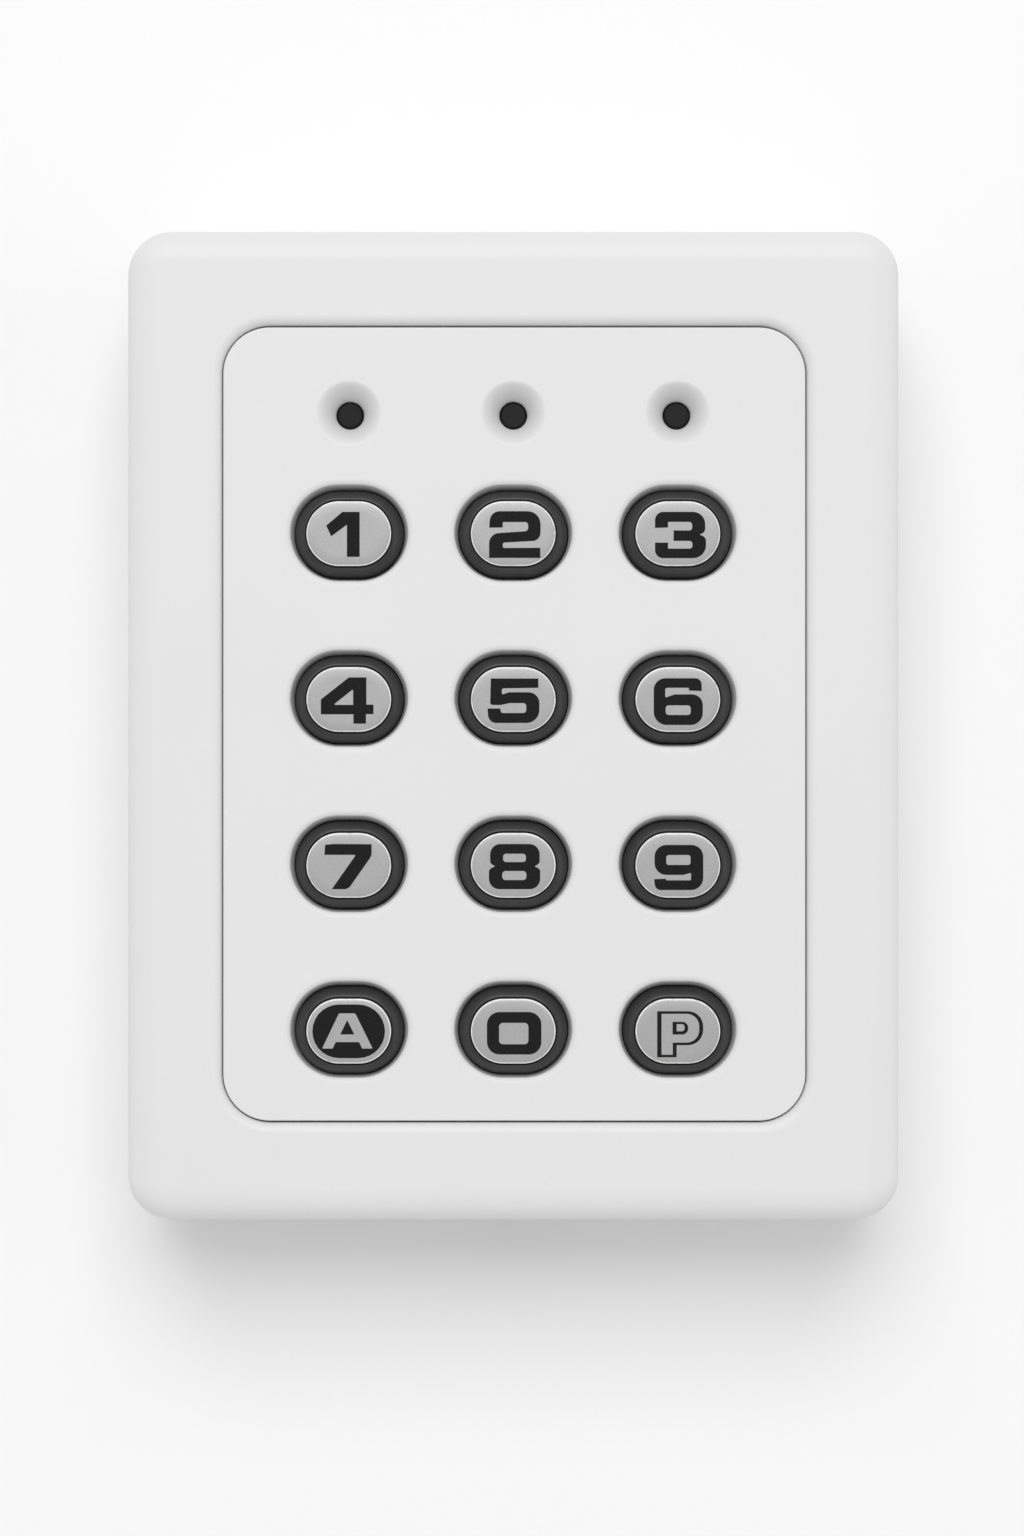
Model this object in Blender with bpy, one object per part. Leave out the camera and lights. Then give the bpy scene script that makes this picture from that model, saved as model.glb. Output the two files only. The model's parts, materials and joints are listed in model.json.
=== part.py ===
"""Alarm keypad panel: a white wall-mounted housing with twelve sprung keys and three status lights.

Metres, +Z up. The front faces -Y, the origin is the centre of the flat back face that lies on the wall.
"""

import math

import bmesh
import bpy

GAP = 0.0003  # between pieces that rest on each other

# Keys: four rows of three, on one pitch across and one up and down.
KEY_PITCH_X = 0.01905
KEY_PITCH_Z = 0.0192
KEY_NAMES = (("1", "2", "3"), ("4", "5", "6"), ("7", "8", "9"), ("a", "0", "p"))
KEY_WIDTH = 0.0126
KEY_HEIGHT = 0.01015
KEY_PLAY = 0.00038  # side clearance at the mouth of its well
KEY_THROAT_PLAY = 0.0003  # and where the well is narrowest
KEY_HANG = 0.00012  # a key hangs low in its well by this much
KEY_FLANGE = 0.0013  # how far the stop flange reaches past the key's side
KEY_FLANGE_THICKNESS = 0.0008
KEY_PROUD = 0.0009  # cap face above the panel face
KEY_TRAVEL = 0.0012
KEY_RING_LAND = 0.0003  # flat round the cap's pocket
KEY_CREST_DROP = 0.0006  # from the cap's rim down to the middle of the sloping ring
KEY_SHOULDER_DROP = 0.0022  # and down to its outer edge
CAP_WIDTH = 0.0098
CAP_HEIGHT = 0.0075
CAP_THICKNESS = 0.0011
CAP_SIDE_GAP = 0.0002
CAP_STANDS_OUT = 0.00035  # cap face above the ring round it
CAP_BEVEL = 0.0003
STEM_WIDTH = 0.0060
STEM_HEIGHT = 0.0044
STEM_LENGTH = 0.0008

# Status lights
LED_ROW_ABOVE_KEYS = 0.0139
LED_RADIUS = 0.00145
LED_FLANGE_RADIUS = 0.0019
LED_FLANGE_THICKNESS = 0.0010
LED_PLAY = 0.00025
LED_RECESS_RADIUS = 0.0035
LED_RECESS_DEPTH = 0.0032
LED_RECESS_RIM = 0.0006
LED_EDGE_ROUND = 0.0003
LED_STANDS_IN = 0.0002  # flat top above the foot of its recess

# Key panel
PANEL_SIDE_MARGIN = 0.00767  # beyond the outer wells
PANEL_TOP_MARGIN = 0.0100  # above the lights
PANEL_BOTTOM_MARGIN = 0.00473  # below the lowest wells
PANEL_RADIUS = 0.0054
PANEL_THICKNESS = 0.0038
PANEL_SET_BACK = 0.0005  # panel face behind the frame's face
PANEL_GAP = 0.00025
PANEL_EDGE_BEVEL = 0.0002
PANEL_LEDGE = 0.0022  # flange behind the frame
PANEL_POST_RADIUS = 0.0020
WELL_RIM = 0.0008
WELL_THROAT_DEPTH = 0.0024
POST_EDGE_DISTANCE = 0.0030

# Housing
BORDER_TOP = 0.01125
BORDER_BOTTOM = 0.01185
HOUSING_RADIUS = 0.0051
HOUSING_DRAFT = 0.0002
EDGE_FILLET = 0.0038
EDGE_FILLET_DEPTH = 0.0026
WINDOW_FILLET = 0.0012
SIDE_WALL = 0.0022
FRONT_WALL = 0.0024
REAR_WALL = 0.0022
LIP_HEIGHT = 0.0048
LIP_THICKNESS = 0.0016
BOSS_RADIUS = 0.00285
BOSS_FROM_END = 0.0146
BOSS_SIDE_GAP = 0.0006
BOSS_LEDGE_GAP = 0.0005
HOOK_WIDTH = 0.0080
HOOK_DEPTH = 0.0014
HOOK_REACH = 0.0010
HOOK_SPACING = 0.0440

# Wall fixing and cable entry
WALL_SCREW_RADIUS = 0.00225
WALL_SCREW_CLEARANCE = 0.0006
COUNTERSINK = 0.0012
CABLE_WIDTH = 0.0260
CABLE_HEIGHT = 0.0160
CABLE_RADIUS = 0.0020
CABLE_ABOVE_CENTRE = 0.0180

# Circuit board and what is on it
BOARD_THICKNESS = 0.0016
BOARD_SIDE_GAP = 0.0005
BOARD_RADIUS = 0.0028
TALLEST_COMPONENT_CLEARANCE = 0.0022
MAT_THICKNESS = 0.0008
MAT_MARGIN = 0.0012
MAT_RADIUS = 0.0020
DOME_BASE_RADIUS = 0.0042
DOME_TOP_RADIUS = 0.0030
DOME_WALL = 0.0008
SCREW_RADIUS = 0.0010
SCREW_HEAD_RADIUS = 0.0021
SCREW_HEAD_HEIGHT = 0.0013
SCREW_REACH = 0.0036  # thread past the board's front face
SCREW_SLOT_WIDTH = 0.0005
SCREW_SLOT_DEPTH = 0.0006
CASE_SCREW_FROM_BACK = 0.0062
CASE_SCREW_LENGTH = 0.0080
CASE_BOSS_WIDTH = 0.0080
CASE_BOSS_HEIGHT = 0.0085
TAMPER_ABOVE_CENTRE = -0.0300
TAMPER_RADIUS = 0.0014
TAMPER_HOUSING = 0.0066
TAMPER_HOUSING_HEIGHT = 0.0036
TAMPER_TRAVEL = 0.0015
TAMPER_COLLAR_RADIUS = 0.0026
TAMPER_COLLAR_THICKNESS = 0.0008
SPRING_WIRE = 0.0002  # radius
SPRING_TURNS = 4
LED_SPACER_HEIGHT = 0.0015
TERMINAL_WAYS = 8
TERMINAL_PITCH = 0.0033
TERMINAL_END = 0.0008
TERMINAL_DEPTH = 0.0080
TERMINAL_HEIGHT = 0.0085
TERMINAL_X = -0.0180
TERMINAL_ABOVE_CABLE = 0.0070
TERMINAL_ENTRY = (0.0024, 0.0035)
TERMINAL_ENTRY_DEPTH = 0.0015
BUZZER_RADIUS = 0.0060
BUZZER_HEIGHT = 0.0070
BUZZER_PLACE = (0.0240, 0.0020)
CAPACITOR_RADIUS = 0.00315
CAPACITOR_HEIGHT = 0.0080
CAPACITOR_PLACE = (0.0240, 0.0340)
CHIP_SIZE = (0.0100, 0.0100, 0.0014)
CHIP_PLACE = (-0.0160, -0.0100)
REGULATOR_SIZE = (0.0065, 0.0036, 0.0016)
REGULATOR_PLACE = (0.0100, 0.0360)
HEADER_SIZE = (0.0076, 0.0050, 0.0060)
HEADER_PLACE = (0.0220, -0.0220)

SHARPEST_CORNER = 0.0004  # least radius left inside a fillet
BLOCK_CORNER = 0.0002
SLOT_CORNER = 0.0001

# Facets to a quarter turn of an outline, an edge or a small corner, and to a whole turn of a round piece
STADIUM_STEPS = 4
CORNER_STEPS = 6
SMALL_CORNER_STEPS = 3
EDGE_STEPS = 6
WINDOW_EDGE_STEPS = 3
WELL_RIM_STEPS = 2
ROUND_STEPS = 16
SMALL_ROUND_STEPS = 12
SPRING_STEPS = 10

# Everything below follows from the sizes above.
WELL_WIDTH = KEY_WIDTH + 2 * KEY_PLAY
WELL_HEIGHT = KEY_HEIGHT + 2 * (KEY_PLAY + KEY_HANG)
PANEL_WIDTH = 2 * KEY_PITCH_X + WELL_WIDTH + 2 * PANEL_SIDE_MARGIN
KEYS_HEIGHT = (len(KEY_NAMES) - 1) * KEY_PITCH_Z
PANEL_BELOW_LEDS = LED_ROW_ABOVE_KEYS + KEYS_HEIGHT + WELL_HEIGHT / 2 + PANEL_BOTTOM_MARGIN
PANEL_HEIGHT = PANEL_TOP_MARGIN + PANEL_BELOW_LEDS
WINDOW_WIDTH = PANEL_WIDTH + 2 * PANEL_GAP
WINDOW_HEIGHT = PANEL_HEIGHT + 2 * PANEL_GAP
WINDOW_RADIUS = PANEL_RADIUS + PANEL_GAP
BORDER_SIDE = HOUSING_DRAFT + SIDE_WALL + BOSS_SIDE_GAP + 2 * BOSS_RADIUS + BOSS_LEDGE_GAP + PANEL_LEDGE
HOUSING_WIDTH = WINDOW_WIDTH + 2 * BORDER_SIDE
HOUSING_HEIGHT = WINDOW_HEIGHT + BORDER_TOP + BORDER_BOTTOM
PANEL_Z = (BORDER_BOTTOM - BORDER_TOP) / 2
DOME_HEIGHT = KEY_TRAVEL + DOME_WALL
FRONT_WIDTH = HOUSING_WIDTH - 2 * HOUSING_DRAFT
FRONT_HEIGHT = HOUSING_HEIGHT - 2 * HOUSING_DRAFT
INNER_WIDTH = FRONT_WIDTH - 2 * SIDE_WALL
INNER_HEIGHT = FRONT_HEIGHT - 2 * SIDE_WALL
INNER_RADIUS = HOUSING_RADIUS - HOUSING_DRAFT - SIDE_WALL
LED_Z = PANEL_Z + PANEL_HEIGHT / 2 - PANEL_TOP_MARGIN
TOP_ROW_Z = LED_Z - LED_ROW_ABOVE_KEYS
LIP_WIDTH = INNER_WIDTH - 2 * GAP
LIP_OUTER_HEIGHT = INNER_HEIGHT - 2 * GAP

# Depths, from the wall at zero forward to the most negative.
REAR_INSIDE_Y = -REAR_WALL
FRAME_REAR_Y = REAR_INSIDE_Y - GAP
BOARD_BACK_Y = REAR_INSIDE_Y - TALLEST_COMPONENT_CLEARANCE - TERMINAL_HEIGHT - GAP
BOARD_FRONT_Y = BOARD_BACK_Y - BOARD_THICKNESS
MAT_BACK_Y = BOARD_FRONT_Y - GAP
MAT_FRONT_Y = MAT_BACK_Y - MAT_THICKNESS
DOME_TOP_Y = MAT_FRONT_Y - DOME_HEIGHT
STEM_END_Y = DOME_TOP_Y - GAP
FLANGE_BACK_Y = STEM_END_Y - STEM_LENGTH
FLANGE_FRONT_Y = FLANGE_BACK_Y - KEY_FLANGE_THICKNESS
PANEL_BACK_Y = FLANGE_FRONT_Y - GAP
PANEL_FACE_Y = PANEL_BACK_Y - PANEL_THICKNESS
FRAME_FACE_Y = PANEL_FACE_Y - PANEL_SET_BACK
FRAME_INSIDE_Y = FRAME_FACE_Y + FRONT_WALL
LEDGE_FRONT_Y = FRAME_INSIDE_Y + GAP
CAP_FACE_Y = PANEL_FACE_Y - KEY_PROUD
RING_TOP_Y = CAP_FACE_Y + CAP_STANDS_OUT
POCKET_FLOOR_Y = CAP_FACE_Y + CAP_THICKNESS + GAP
LED_TIP_Y = PANEL_FACE_Y + LED_RECESS_DEPTH - LED_STANDS_IN
LED_BASE_Y = BOARD_FRONT_Y - LED_SPACER_HEIGHT - 2 * GAP
BOSS_X = INNER_WIDTH / 2 - BOSS_RADIUS - BOSS_SIDE_GAP
BOSS_Z = INNER_HEIGHT / 2 - BOSS_FROM_END
WALL_SCREW_REACH = WALL_SCREW_RADIUS + COUNTERSINK + WALL_SCREW_CLEARANCE
WALL_SCREW_Z = LIP_OUTER_HEIGHT / 2 - CASE_BOSS_HEIGHT - WALL_SCREW_REACH


def clear_scene():
    for thing in list(bpy.data.objects):
        bpy.data.objects.remove(thing, do_unlink=True)


def material(name, colour, roughness, metallic=0.0):
    made = bpy.data.materials.new(name)
    made.use_nodes = True
    shader = made.node_tree.nodes["Principled BSDF"]
    shader.inputs["Base Color"].default_value = (*colour, 1.0)
    shader.inputs["Roughness"].default_value = roughness
    shader.inputs["Metallic"].default_value = metallic
    return made


def rounded_outline(width, height, radius, y, steps, centre=(0.0, 0.0)):
    """Points round a rounded rectangle that faces the front, at depth y."""
    radius = min(radius, width / 2, height / 2)
    points = []
    for corner, (side_x, side_z) in enumerate(((1, 1), (-1, 1), (-1, -1), (1, -1))):
        for step in range(steps + 1):
            angle = math.pi / 2 * (corner + step / steps)
            points.append(
                (
                    centre[0] + side_x * (width / 2 - radius) + radius * math.cos(angle),
                    y,
                    centre[1] + side_z * (height / 2 - radius) + radius * math.sin(angle),
                )
            )
    return points


def stadium(width, height, y, centre=(0.0, 0.0)):
    return rounded_outline(width, height, height / 2, y, STADIUM_STEPS, centre)


def circle(radius, y, centre=(0.0, 0.0), steps=ROUND_STEPS):
    turns = [2 * math.pi * step / steps for step in range(steps)]
    return [(centre[0] + radius * math.cos(a), y, centre[1] + radius * math.sin(a)) for a in turns]


def loft_into(mesh, rings, closed=False):
    """Skins rings of equal count, capped at both ends or joined last to first."""
    rows = [[mesh.verts.new(point) for point in ring] for ring in rings]
    pairs = list(zip(rows, rows[1:]))
    if closed:
        pairs.append((rows[-1], rows[0]))
    for low, high in pairs:
        for i in range(len(low)):
            j = (i + 1) % len(low)
            mesh.faces.new((low[i], low[j], high[j], high[i]))
    if not closed:
        mesh.faces.new(rows[0])
        mesh.faces.new(rows[-1])


def finish_mesh(mesh, name, paint=None, location=(0, 0, 0)):
    bmesh.ops.remove_doubles(mesh, verts=mesh.verts, dist=1e-6)
    bmesh.ops.dissolve_degenerate(mesh, edges=mesh.edges, dist=1e-6)
    bmesh.ops.recalc_face_normals(mesh, faces=mesh.faces)
    data = bpy.data.meshes.new(name)
    mesh.to_mesh(data)
    mesh.free()
    data.shade_smooth()
    data.set_sharp_from_angle(angle=math.radians(35))
    made = bpy.data.objects.new(name, data)
    made.location = location
    if paint:
        data.materials.append(paint)
    bpy.context.collection.objects.link(made)
    return made


def lofted(name, shells, paint=None, location=(0, 0, 0), closed=False):
    """An object of one or more shells, each a list of rings."""
    mesh = bmesh.new()
    for rings in shells:
        loft_into(mesh, rings, closed)
    return finish_mesh(mesh, name, paint, location)


def block(width, height, front, back, centre, radius=BLOCK_CORNER):
    """Rings of a rectangular block from its front depth to its back."""
    return [rounded_outline(width, height, radius, y, 1, centre) for y in (front, back)]


def cylinder(radius, front, back, centre, steps=ROUND_STEPS):
    return [circle(radius, y, centre, steps) for y in (front, back)]


def combine(target, tool, operation):
    """Cuts the tool from the target or joins it on, leaving the tool as a wire guide."""
    tool.hide_render = True
    tool.display_type = "WIRE"
    change = target.modifiers.new(f"{operation.lower()} {tool.name}", "BOOLEAN")
    change.operation = operation
    change.solver = "EXACT"
    change.object = tool


def fillet_rings(width, height, radius, face_y, reach, depth):
    """Rings of an outer edge rounded over to the face: this far in across it, and this deep."""
    rings = []
    for step in range(EDGE_STEPS + 1):
        turn = math.pi / 2 * step / EDGE_STEPS
        inset = reach * (1 - math.cos(turn))
        ring_y = face_y + depth * (1 - math.sin(turn))
        ring_radius = max(radius - inset, SHARPEST_CORNER)
        size = (width - 2 * inset, height - 2 * inset)
        rings.append(rounded_outline(*size, ring_radius, ring_y, CORNER_STEPS))
    return rings


def opening_rings(width, height, radius, face_y, reach, steps, outline_steps, centre=(0, 0)):
    """Rings of an opening whose rim rolls over into the face, from the face inwards."""
    rings = []
    for step in range(steps + 1):
        turn = math.pi / 2 * step / steps
        grow = reach * (1 - math.sin(turn))
        ring_y = face_y + reach * (1 - math.cos(turn))
        size = (width + 2 * grow, height + 2 * grow)
        rings.append(rounded_outline(*size, radius + grow, ring_y, outline_steps, centre))
    return rings


def key_centre(row, column):
    return ((column - 1) * KEY_PITCH_X, TOP_ROW_Z - row * KEY_PITCH_Z)


def key_places():
    for row, names in enumerate(KEY_NAMES):
        for column, name in enumerate(names):
            yield name, key_centre(row, column)


def led_places():
    for name, column in (("left", -1), ("middle", 0), ("right", 1)):
        yield name, (column * KEY_PITCH_X, LED_Z)


def boss_places():
    return [(x * BOSS_X, z * BOSS_Z) for x in (-1, 1) for z in (1, -1)]


def make_bezel_frame(paint):
    """The front cover: a picture frame with rounded edges, open at the back, with four screw bosses."""
    outer_rear = rounded_outline(HOUSING_WIDTH, HOUSING_HEIGHT, HOUSING_RADIUS, FRAME_REAR_Y, CORNER_STEPS)
    front = (FRONT_WIDTH, FRONT_HEIGHT, HOUSING_RADIUS)
    outer = fillet_rings(*front, FRAME_FACE_Y, EDGE_FILLET, EDGE_FILLET_DEPTH)
    opening = (WINDOW_WIDTH, WINDOW_HEIGHT, WINDOW_RADIUS)
    centre = (0, PANEL_Z)
    window = opening_rings(*opening, FRAME_FACE_Y, WINDOW_FILLET, WINDOW_EDGE_STEPS, CORNER_STEPS, centre)
    inside = [
        rounded_outline(*opening, FRAME_INSIDE_Y, CORNER_STEPS, centre),
        rounded_outline(INNER_WIDTH, INNER_HEIGHT, INNER_RADIUS, FRAME_INSIDE_Y, CORNER_STEPS),
        rounded_outline(INNER_WIDTH, INNER_HEIGHT, INNER_RADIUS, FRAME_REAR_Y, CORNER_STEPS),
    ]
    frame = lofted("bezel_frame", [[outer_rear, *outer, *window, *inside]], paint, closed=True)

    boss_end = BOARD_FRONT_Y - GAP
    bosses = [cylinder(BOSS_RADIUS, FRAME_INSIDE_Y - GAP, boss_end, place) for place in boss_places()]
    combine(frame, lofted("frame_bosses", bosses), "UNION")

    pilot = SCREW_RADIUS + GAP
    depth = BOARD_FRONT_Y - SCREW_REACH - 2 * GAP
    holes = [cylinder(pilot, depth, boss_end + GAP, place, SMALL_ROUND_STEPS) for place in boss_places()]
    combine(frame, lofted("frame_pilot_holes", holes), "DIFFERENCE")

    hook_y = REAR_INSIDE_Y - LIP_HEIGHT
    pocket_depth = HOOK_REACH + 2 * GAP
    pockets = [
        block(
            HOOK_WIDTH + 2 * GAP,
            pocket_depth + GAP,
            hook_y - GAP,
            hook_y + HOOK_DEPTH + GAP,
            (side * HOOK_SPACING / 2, INNER_HEIGHT / 2 - GAP / 2 + pocket_depth / 2),
        )
        for side in (-1, 1)
    ]
    combine(frame, lofted("frame_hook_pockets", pockets), "DIFFERENCE")
    combine(frame, case_screw_cutter(), "DIFFERENCE")
    return frame


def upright_rings(profile):
    """Rings of a piece turned on the case screw's upright axis: (radius, z) pairs."""
    rings = []
    for radius, z in profile:
        turns = [2 * math.pi * step / SMALL_ROUND_STEPS for step in range(SMALL_ROUND_STEPS)]
        rings.append(
            [(radius * math.cos(a), -CASE_SCREW_FROM_BACK + radius * math.sin(a), z) for a in turns]
        )
    return rings


def case_screw_cutter():
    """The stepped hole for the case screw in the frame's lower wall."""
    outside = -HOUSING_HEIGHT / 2
    head = SCREW_HEAD_RADIUS + GAP
    hole = SCREW_RADIUS + GAP
    shelf = outside + SCREW_HEAD_HEIGHT
    inside = -INNER_HEIGHT / 2 + GAP
    profile = ((head, outside - GAP), (head, shelf), (hole, shelf), (hole, inside))
    return lofted("frame_case_screw_hole", [upright_rings(profile)])


def make_case_screw(paint):
    """The single screw that closes the case from below."""
    head_low = -HOUSING_HEIGHT / 2 + GAP
    head_high = head_low + SCREW_HEAD_HEIGHT - 2 * GAP
    tip = head_high + CASE_SCREW_LENGTH
    profile = (
        (SCREW_HEAD_RADIUS, head_low),
        (SCREW_HEAD_RADIUS, head_high),
        (SCREW_RADIUS, head_high),
        (SCREW_RADIUS, tip - SCREW_RADIUS),
        (SCREW_RADIUS / 3, tip),
    )
    return lofted("case_screw", [upright_rings(profile)], paint)


def make_rear_case(paint):
    """The back plate on the wall, with an upstanding lip inside the frame, two hooks and a screw boss."""
    edge = GAP
    outline = (HOUSING_WIDTH, HOUSING_HEIGHT, HOUSING_RADIUS)
    lip_radius = INNER_RADIUS - GAP
    lip_top = REAR_INSIDE_Y - LIP_HEIGHT
    lip_in_width = LIP_WIDTH - 2 * LIP_THICKNESS
    lip_in_height = LIP_OUTER_HEIGHT - 2 * LIP_THICKNESS
    lip_in = (lip_in_width, lip_in_height, lip_radius - LIP_THICKNESS)
    rings = [
        rounded_outline(outline[0] - 2 * edge, outline[1] - 2 * edge, outline[2] - edge, 0.0, CORNER_STEPS),
        rounded_outline(*outline, -edge, CORNER_STEPS),
        rounded_outline(*outline, REAR_INSIDE_Y, CORNER_STEPS),
        rounded_outline(LIP_WIDTH, LIP_OUTER_HEIGHT, lip_radius, REAR_INSIDE_Y, CORNER_STEPS),
        rounded_outline(LIP_WIDTH, LIP_OUTER_HEIGHT, lip_radius, lip_top, CORNER_STEPS),
        rounded_outline(*lip_in, lip_top, CORNER_STEPS),
        rounded_outline(*lip_in, REAR_INSIDE_Y, CORNER_STEPS),
    ]
    case = lofted("rear_case", [rings], paint)

    hook_height = HOOK_REACH + LIP_THICKNESS
    hook_z = LIP_OUTER_HEIGHT / 2 + HOOK_REACH - hook_height / 2
    hooks = [
        block(HOOK_WIDTH, hook_height, lip_top, lip_top + HOOK_DEPTH, (side * HOOK_SPACING / 2, hook_z))
        for side in (-1, 1)
    ]
    boss_z = -LIP_OUTER_HEIGHT / 2 + CASE_BOSS_HEIGHT / 2
    boss_front = -CASE_SCREW_FROM_BACK - CASE_BOSS_WIDTH / 2
    boss_size = (CASE_BOSS_WIDTH, CASE_BOSS_HEIGHT - GAP)
    boss = block(*boss_size, boss_front, REAR_INSIDE_Y + GAP, (0, boss_z + GAP / 2))
    combine(case, lofted("rear_hooks", hooks), "UNION")
    combine(case, lofted("rear_screw_boss", [boss]), "UNION")

    hole = SCREW_RADIUS + GAP
    low = -HOUSING_HEIGHT / 2
    pilot = upright_rings(((hole, low), (hole, low + SCREW_HEAD_HEIGHT + CASE_SCREW_LENGTH + 2 * GAP)))
    combine(case, lofted("rear_pilot_hole", [pilot]), "DIFFERENCE")

    past = GAP
    opening = (CABLE_WIDTH, CABLE_HEIGHT, CABLE_RADIUS)
    cable = [
        rounded_outline(*opening, y, SMALL_CORNER_STEPS, (0, CABLE_ABOVE_CENTRE))
        for y in (past, REAR_INSIDE_Y - past)
    ]
    combine(case, lofted("rear_cable_opening", [cable]), "DIFFERENCE")
    holes = []
    for side in (-1, 1):
        place = (0, side * WALL_SCREW_Z)
        wide = WALL_SCREW_RADIUS + COUNTERSINK
        holes.append(
            [
                circle(wide, REAR_INSIDE_Y - past, place),
                circle(wide, REAR_INSIDE_Y, place),
                circle(WALL_SCREW_RADIUS, REAR_INSIDE_Y + COUNTERSINK, place),
                circle(WALL_SCREW_RADIUS, past, place),
            ]
        )
    combine(case, lofted("rear_wall_screw_holes", holes), "DIFFERENCE")
    return case


def make_key_panel(paint):
    """The insert that carries the keys: a plate with a ledge behind the frame, wells and posts."""
    centre = (0, PANEL_Z)
    bevel = PANEL_EDGE_BEVEL
    ledge = (WINDOW_WIDTH + 2 * PANEL_LEDGE, WINDOW_HEIGHT + 2 * PANEL_LEDGE, WINDOW_RADIUS + PANEL_LEDGE)
    size = (PANEL_WIDTH, PANEL_HEIGHT, PANEL_RADIUS)
    face = (PANEL_WIDTH - 2 * bevel, PANEL_HEIGHT - 2 * bevel, PANEL_RADIUS - bevel)
    rings = [
        rounded_outline(*face, PANEL_FACE_Y, CORNER_STEPS, centre),
        rounded_outline(*size, PANEL_FACE_Y + bevel, CORNER_STEPS, centre),
        rounded_outline(*size, LEDGE_FRONT_Y, CORNER_STEPS, centre),
        rounded_outline(*ledge, LEDGE_FRONT_Y, CORNER_STEPS, centre),
        rounded_outline(*ledge, PANEL_BACK_Y, CORNER_STEPS, centre),
    ]
    panel = lofted("key_panel", [rings], paint)

    post_x = PANEL_WIDTH / 2 - POST_EDGE_DISTANCE
    post_z = PANEL_HEIGHT / 2 - POST_EDGE_DISTANCE
    posts = []
    for side_x in (-1, 1):
        for side_z in (-1, 1):
            place = (side_x * post_x, PANEL_Z + side_z * post_z)
            depths = (PANEL_BACK_Y - GAP, BOARD_FRONT_Y - GAP)
            posts.append(cylinder(PANEL_POST_RADIUS, *depths, place, SMALL_ROUND_STEPS))
    combine(panel, lofted("panel_posts", posts), "UNION")

    wells = []
    mouth = (WELL_WIDTH, WELL_HEIGHT, WELL_HEIGHT / 2)
    throat = (KEY_WIDTH + 2 * KEY_THROAT_PLAY, KEY_HEIGHT + 2 * KEY_THROAT_PLAY)
    for _, (x, z) in key_places():
        rim = (PANEL_FACE_Y, WELL_RIM, WELL_RIM_STEPS, STADIUM_STEPS)
        rings = opening_rings(*mouth, *rim, (x, z))
        for depth in (PANEL_FACE_Y + WELL_THROAT_DEPTH, PANEL_BACK_Y + GAP):
            rings.append(stadium(*throat, depth, (x, z - KEY_HANG)))
        wells.append(past_face(rings))
    combine(panel, lofted("panel_key_wells", wells), "DIFFERENCE")

    recesses = []
    hole = LED_RADIUS + LED_PLAY
    for _, place in led_places():
        profile = (
            (LED_RECESS_RADIUS + LED_RECESS_RIM, 0.0),
            (LED_RECESS_RADIUS, LED_RECESS_RIM / 3),
            (LED_RECESS_RADIUS - LED_RECESS_RIM, LED_RECESS_RIM),
            (hole, LED_RECESS_DEPTH),
            (hole, PANEL_THICKNESS + GAP),
        )
        rings = [circle(radius, PANEL_FACE_Y + depth, place) for radius, depth in profile]
        recesses.append(past_face(rings))
    combine(panel, lofted("panel_led_recesses", recesses), "DIFFERENCE")
    return panel


def past_face(rings):
    """Adds a copy of the first ring in front of the face, so that a cutter goes right through it."""
    return [[(x, y - GAP, z) for x, y, z in rings[0]]] + rings


def make_key(name, place, body_paint, cap_paint):
    """One key: a black body with a stop flange and stem, and a silver cap set into its top."""
    x, z = place
    z -= KEY_HANG
    axis = bpy.data.objects.new(f"key_{name}_axis", None)
    axis.location = (x, PANEL_FACE_Y, z)
    bpy.context.collection.objects.link(axis)

    flange_w = KEY_WIDTH + 2 * KEY_FLANGE
    flange_h = KEY_HEIGHT + 2 * KEY_FLANGE
    pocket_w = CAP_WIDTH + 2 * CAP_SIDE_GAP
    pocket_h = CAP_HEIGHT + 2 * CAP_SIDE_GAP
    rim = KEY_RING_LAND
    half_w = (KEY_WIDTH + pocket_w) / 2 + rim
    half_h = (KEY_HEIGHT + pocket_h) / 2 + rim
    depths = (
        (STEM_WIDTH, STEM_HEIGHT, STEM_END_Y),
        (STEM_WIDTH, STEM_HEIGHT, FLANGE_BACK_Y),
        (flange_w, flange_h, FLANGE_BACK_Y),
        (flange_w, flange_h, FLANGE_FRONT_Y),
        (KEY_WIDTH, KEY_HEIGHT, FLANGE_FRONT_Y),
        (KEY_WIDTH, KEY_HEIGHT, RING_TOP_Y + KEY_SHOULDER_DROP),
        (half_w, half_h, RING_TOP_Y + KEY_CREST_DROP),
        (pocket_w + 2 * rim, pocket_h + 2 * rim, RING_TOP_Y),
        (pocket_w, pocket_h, RING_TOP_Y),
        (pocket_w, pocket_h, POCKET_FLOOR_Y),
    )
    body = lofted(f"key_{name}_body", [[stadium(w, h, y - PANEL_FACE_Y) for w, h, y in depths]], body_paint)
    depths = (
        (CAP_WIDTH, CAP_HEIGHT, CAP_FACE_Y + CAP_THICKNESS),
        (CAP_WIDTH, CAP_HEIGHT, CAP_FACE_Y + CAP_BEVEL),
        (CAP_WIDTH - 2 * CAP_BEVEL, CAP_HEIGHT - 2 * CAP_BEVEL, CAP_FACE_Y),
    )
    cap = lofted(f"key_{name}_cap", [[stadium(w, h, y - PANEL_FACE_Y) for w, h, y in depths]], cap_paint)
    body.parent = axis
    cap.parent = axis


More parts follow.
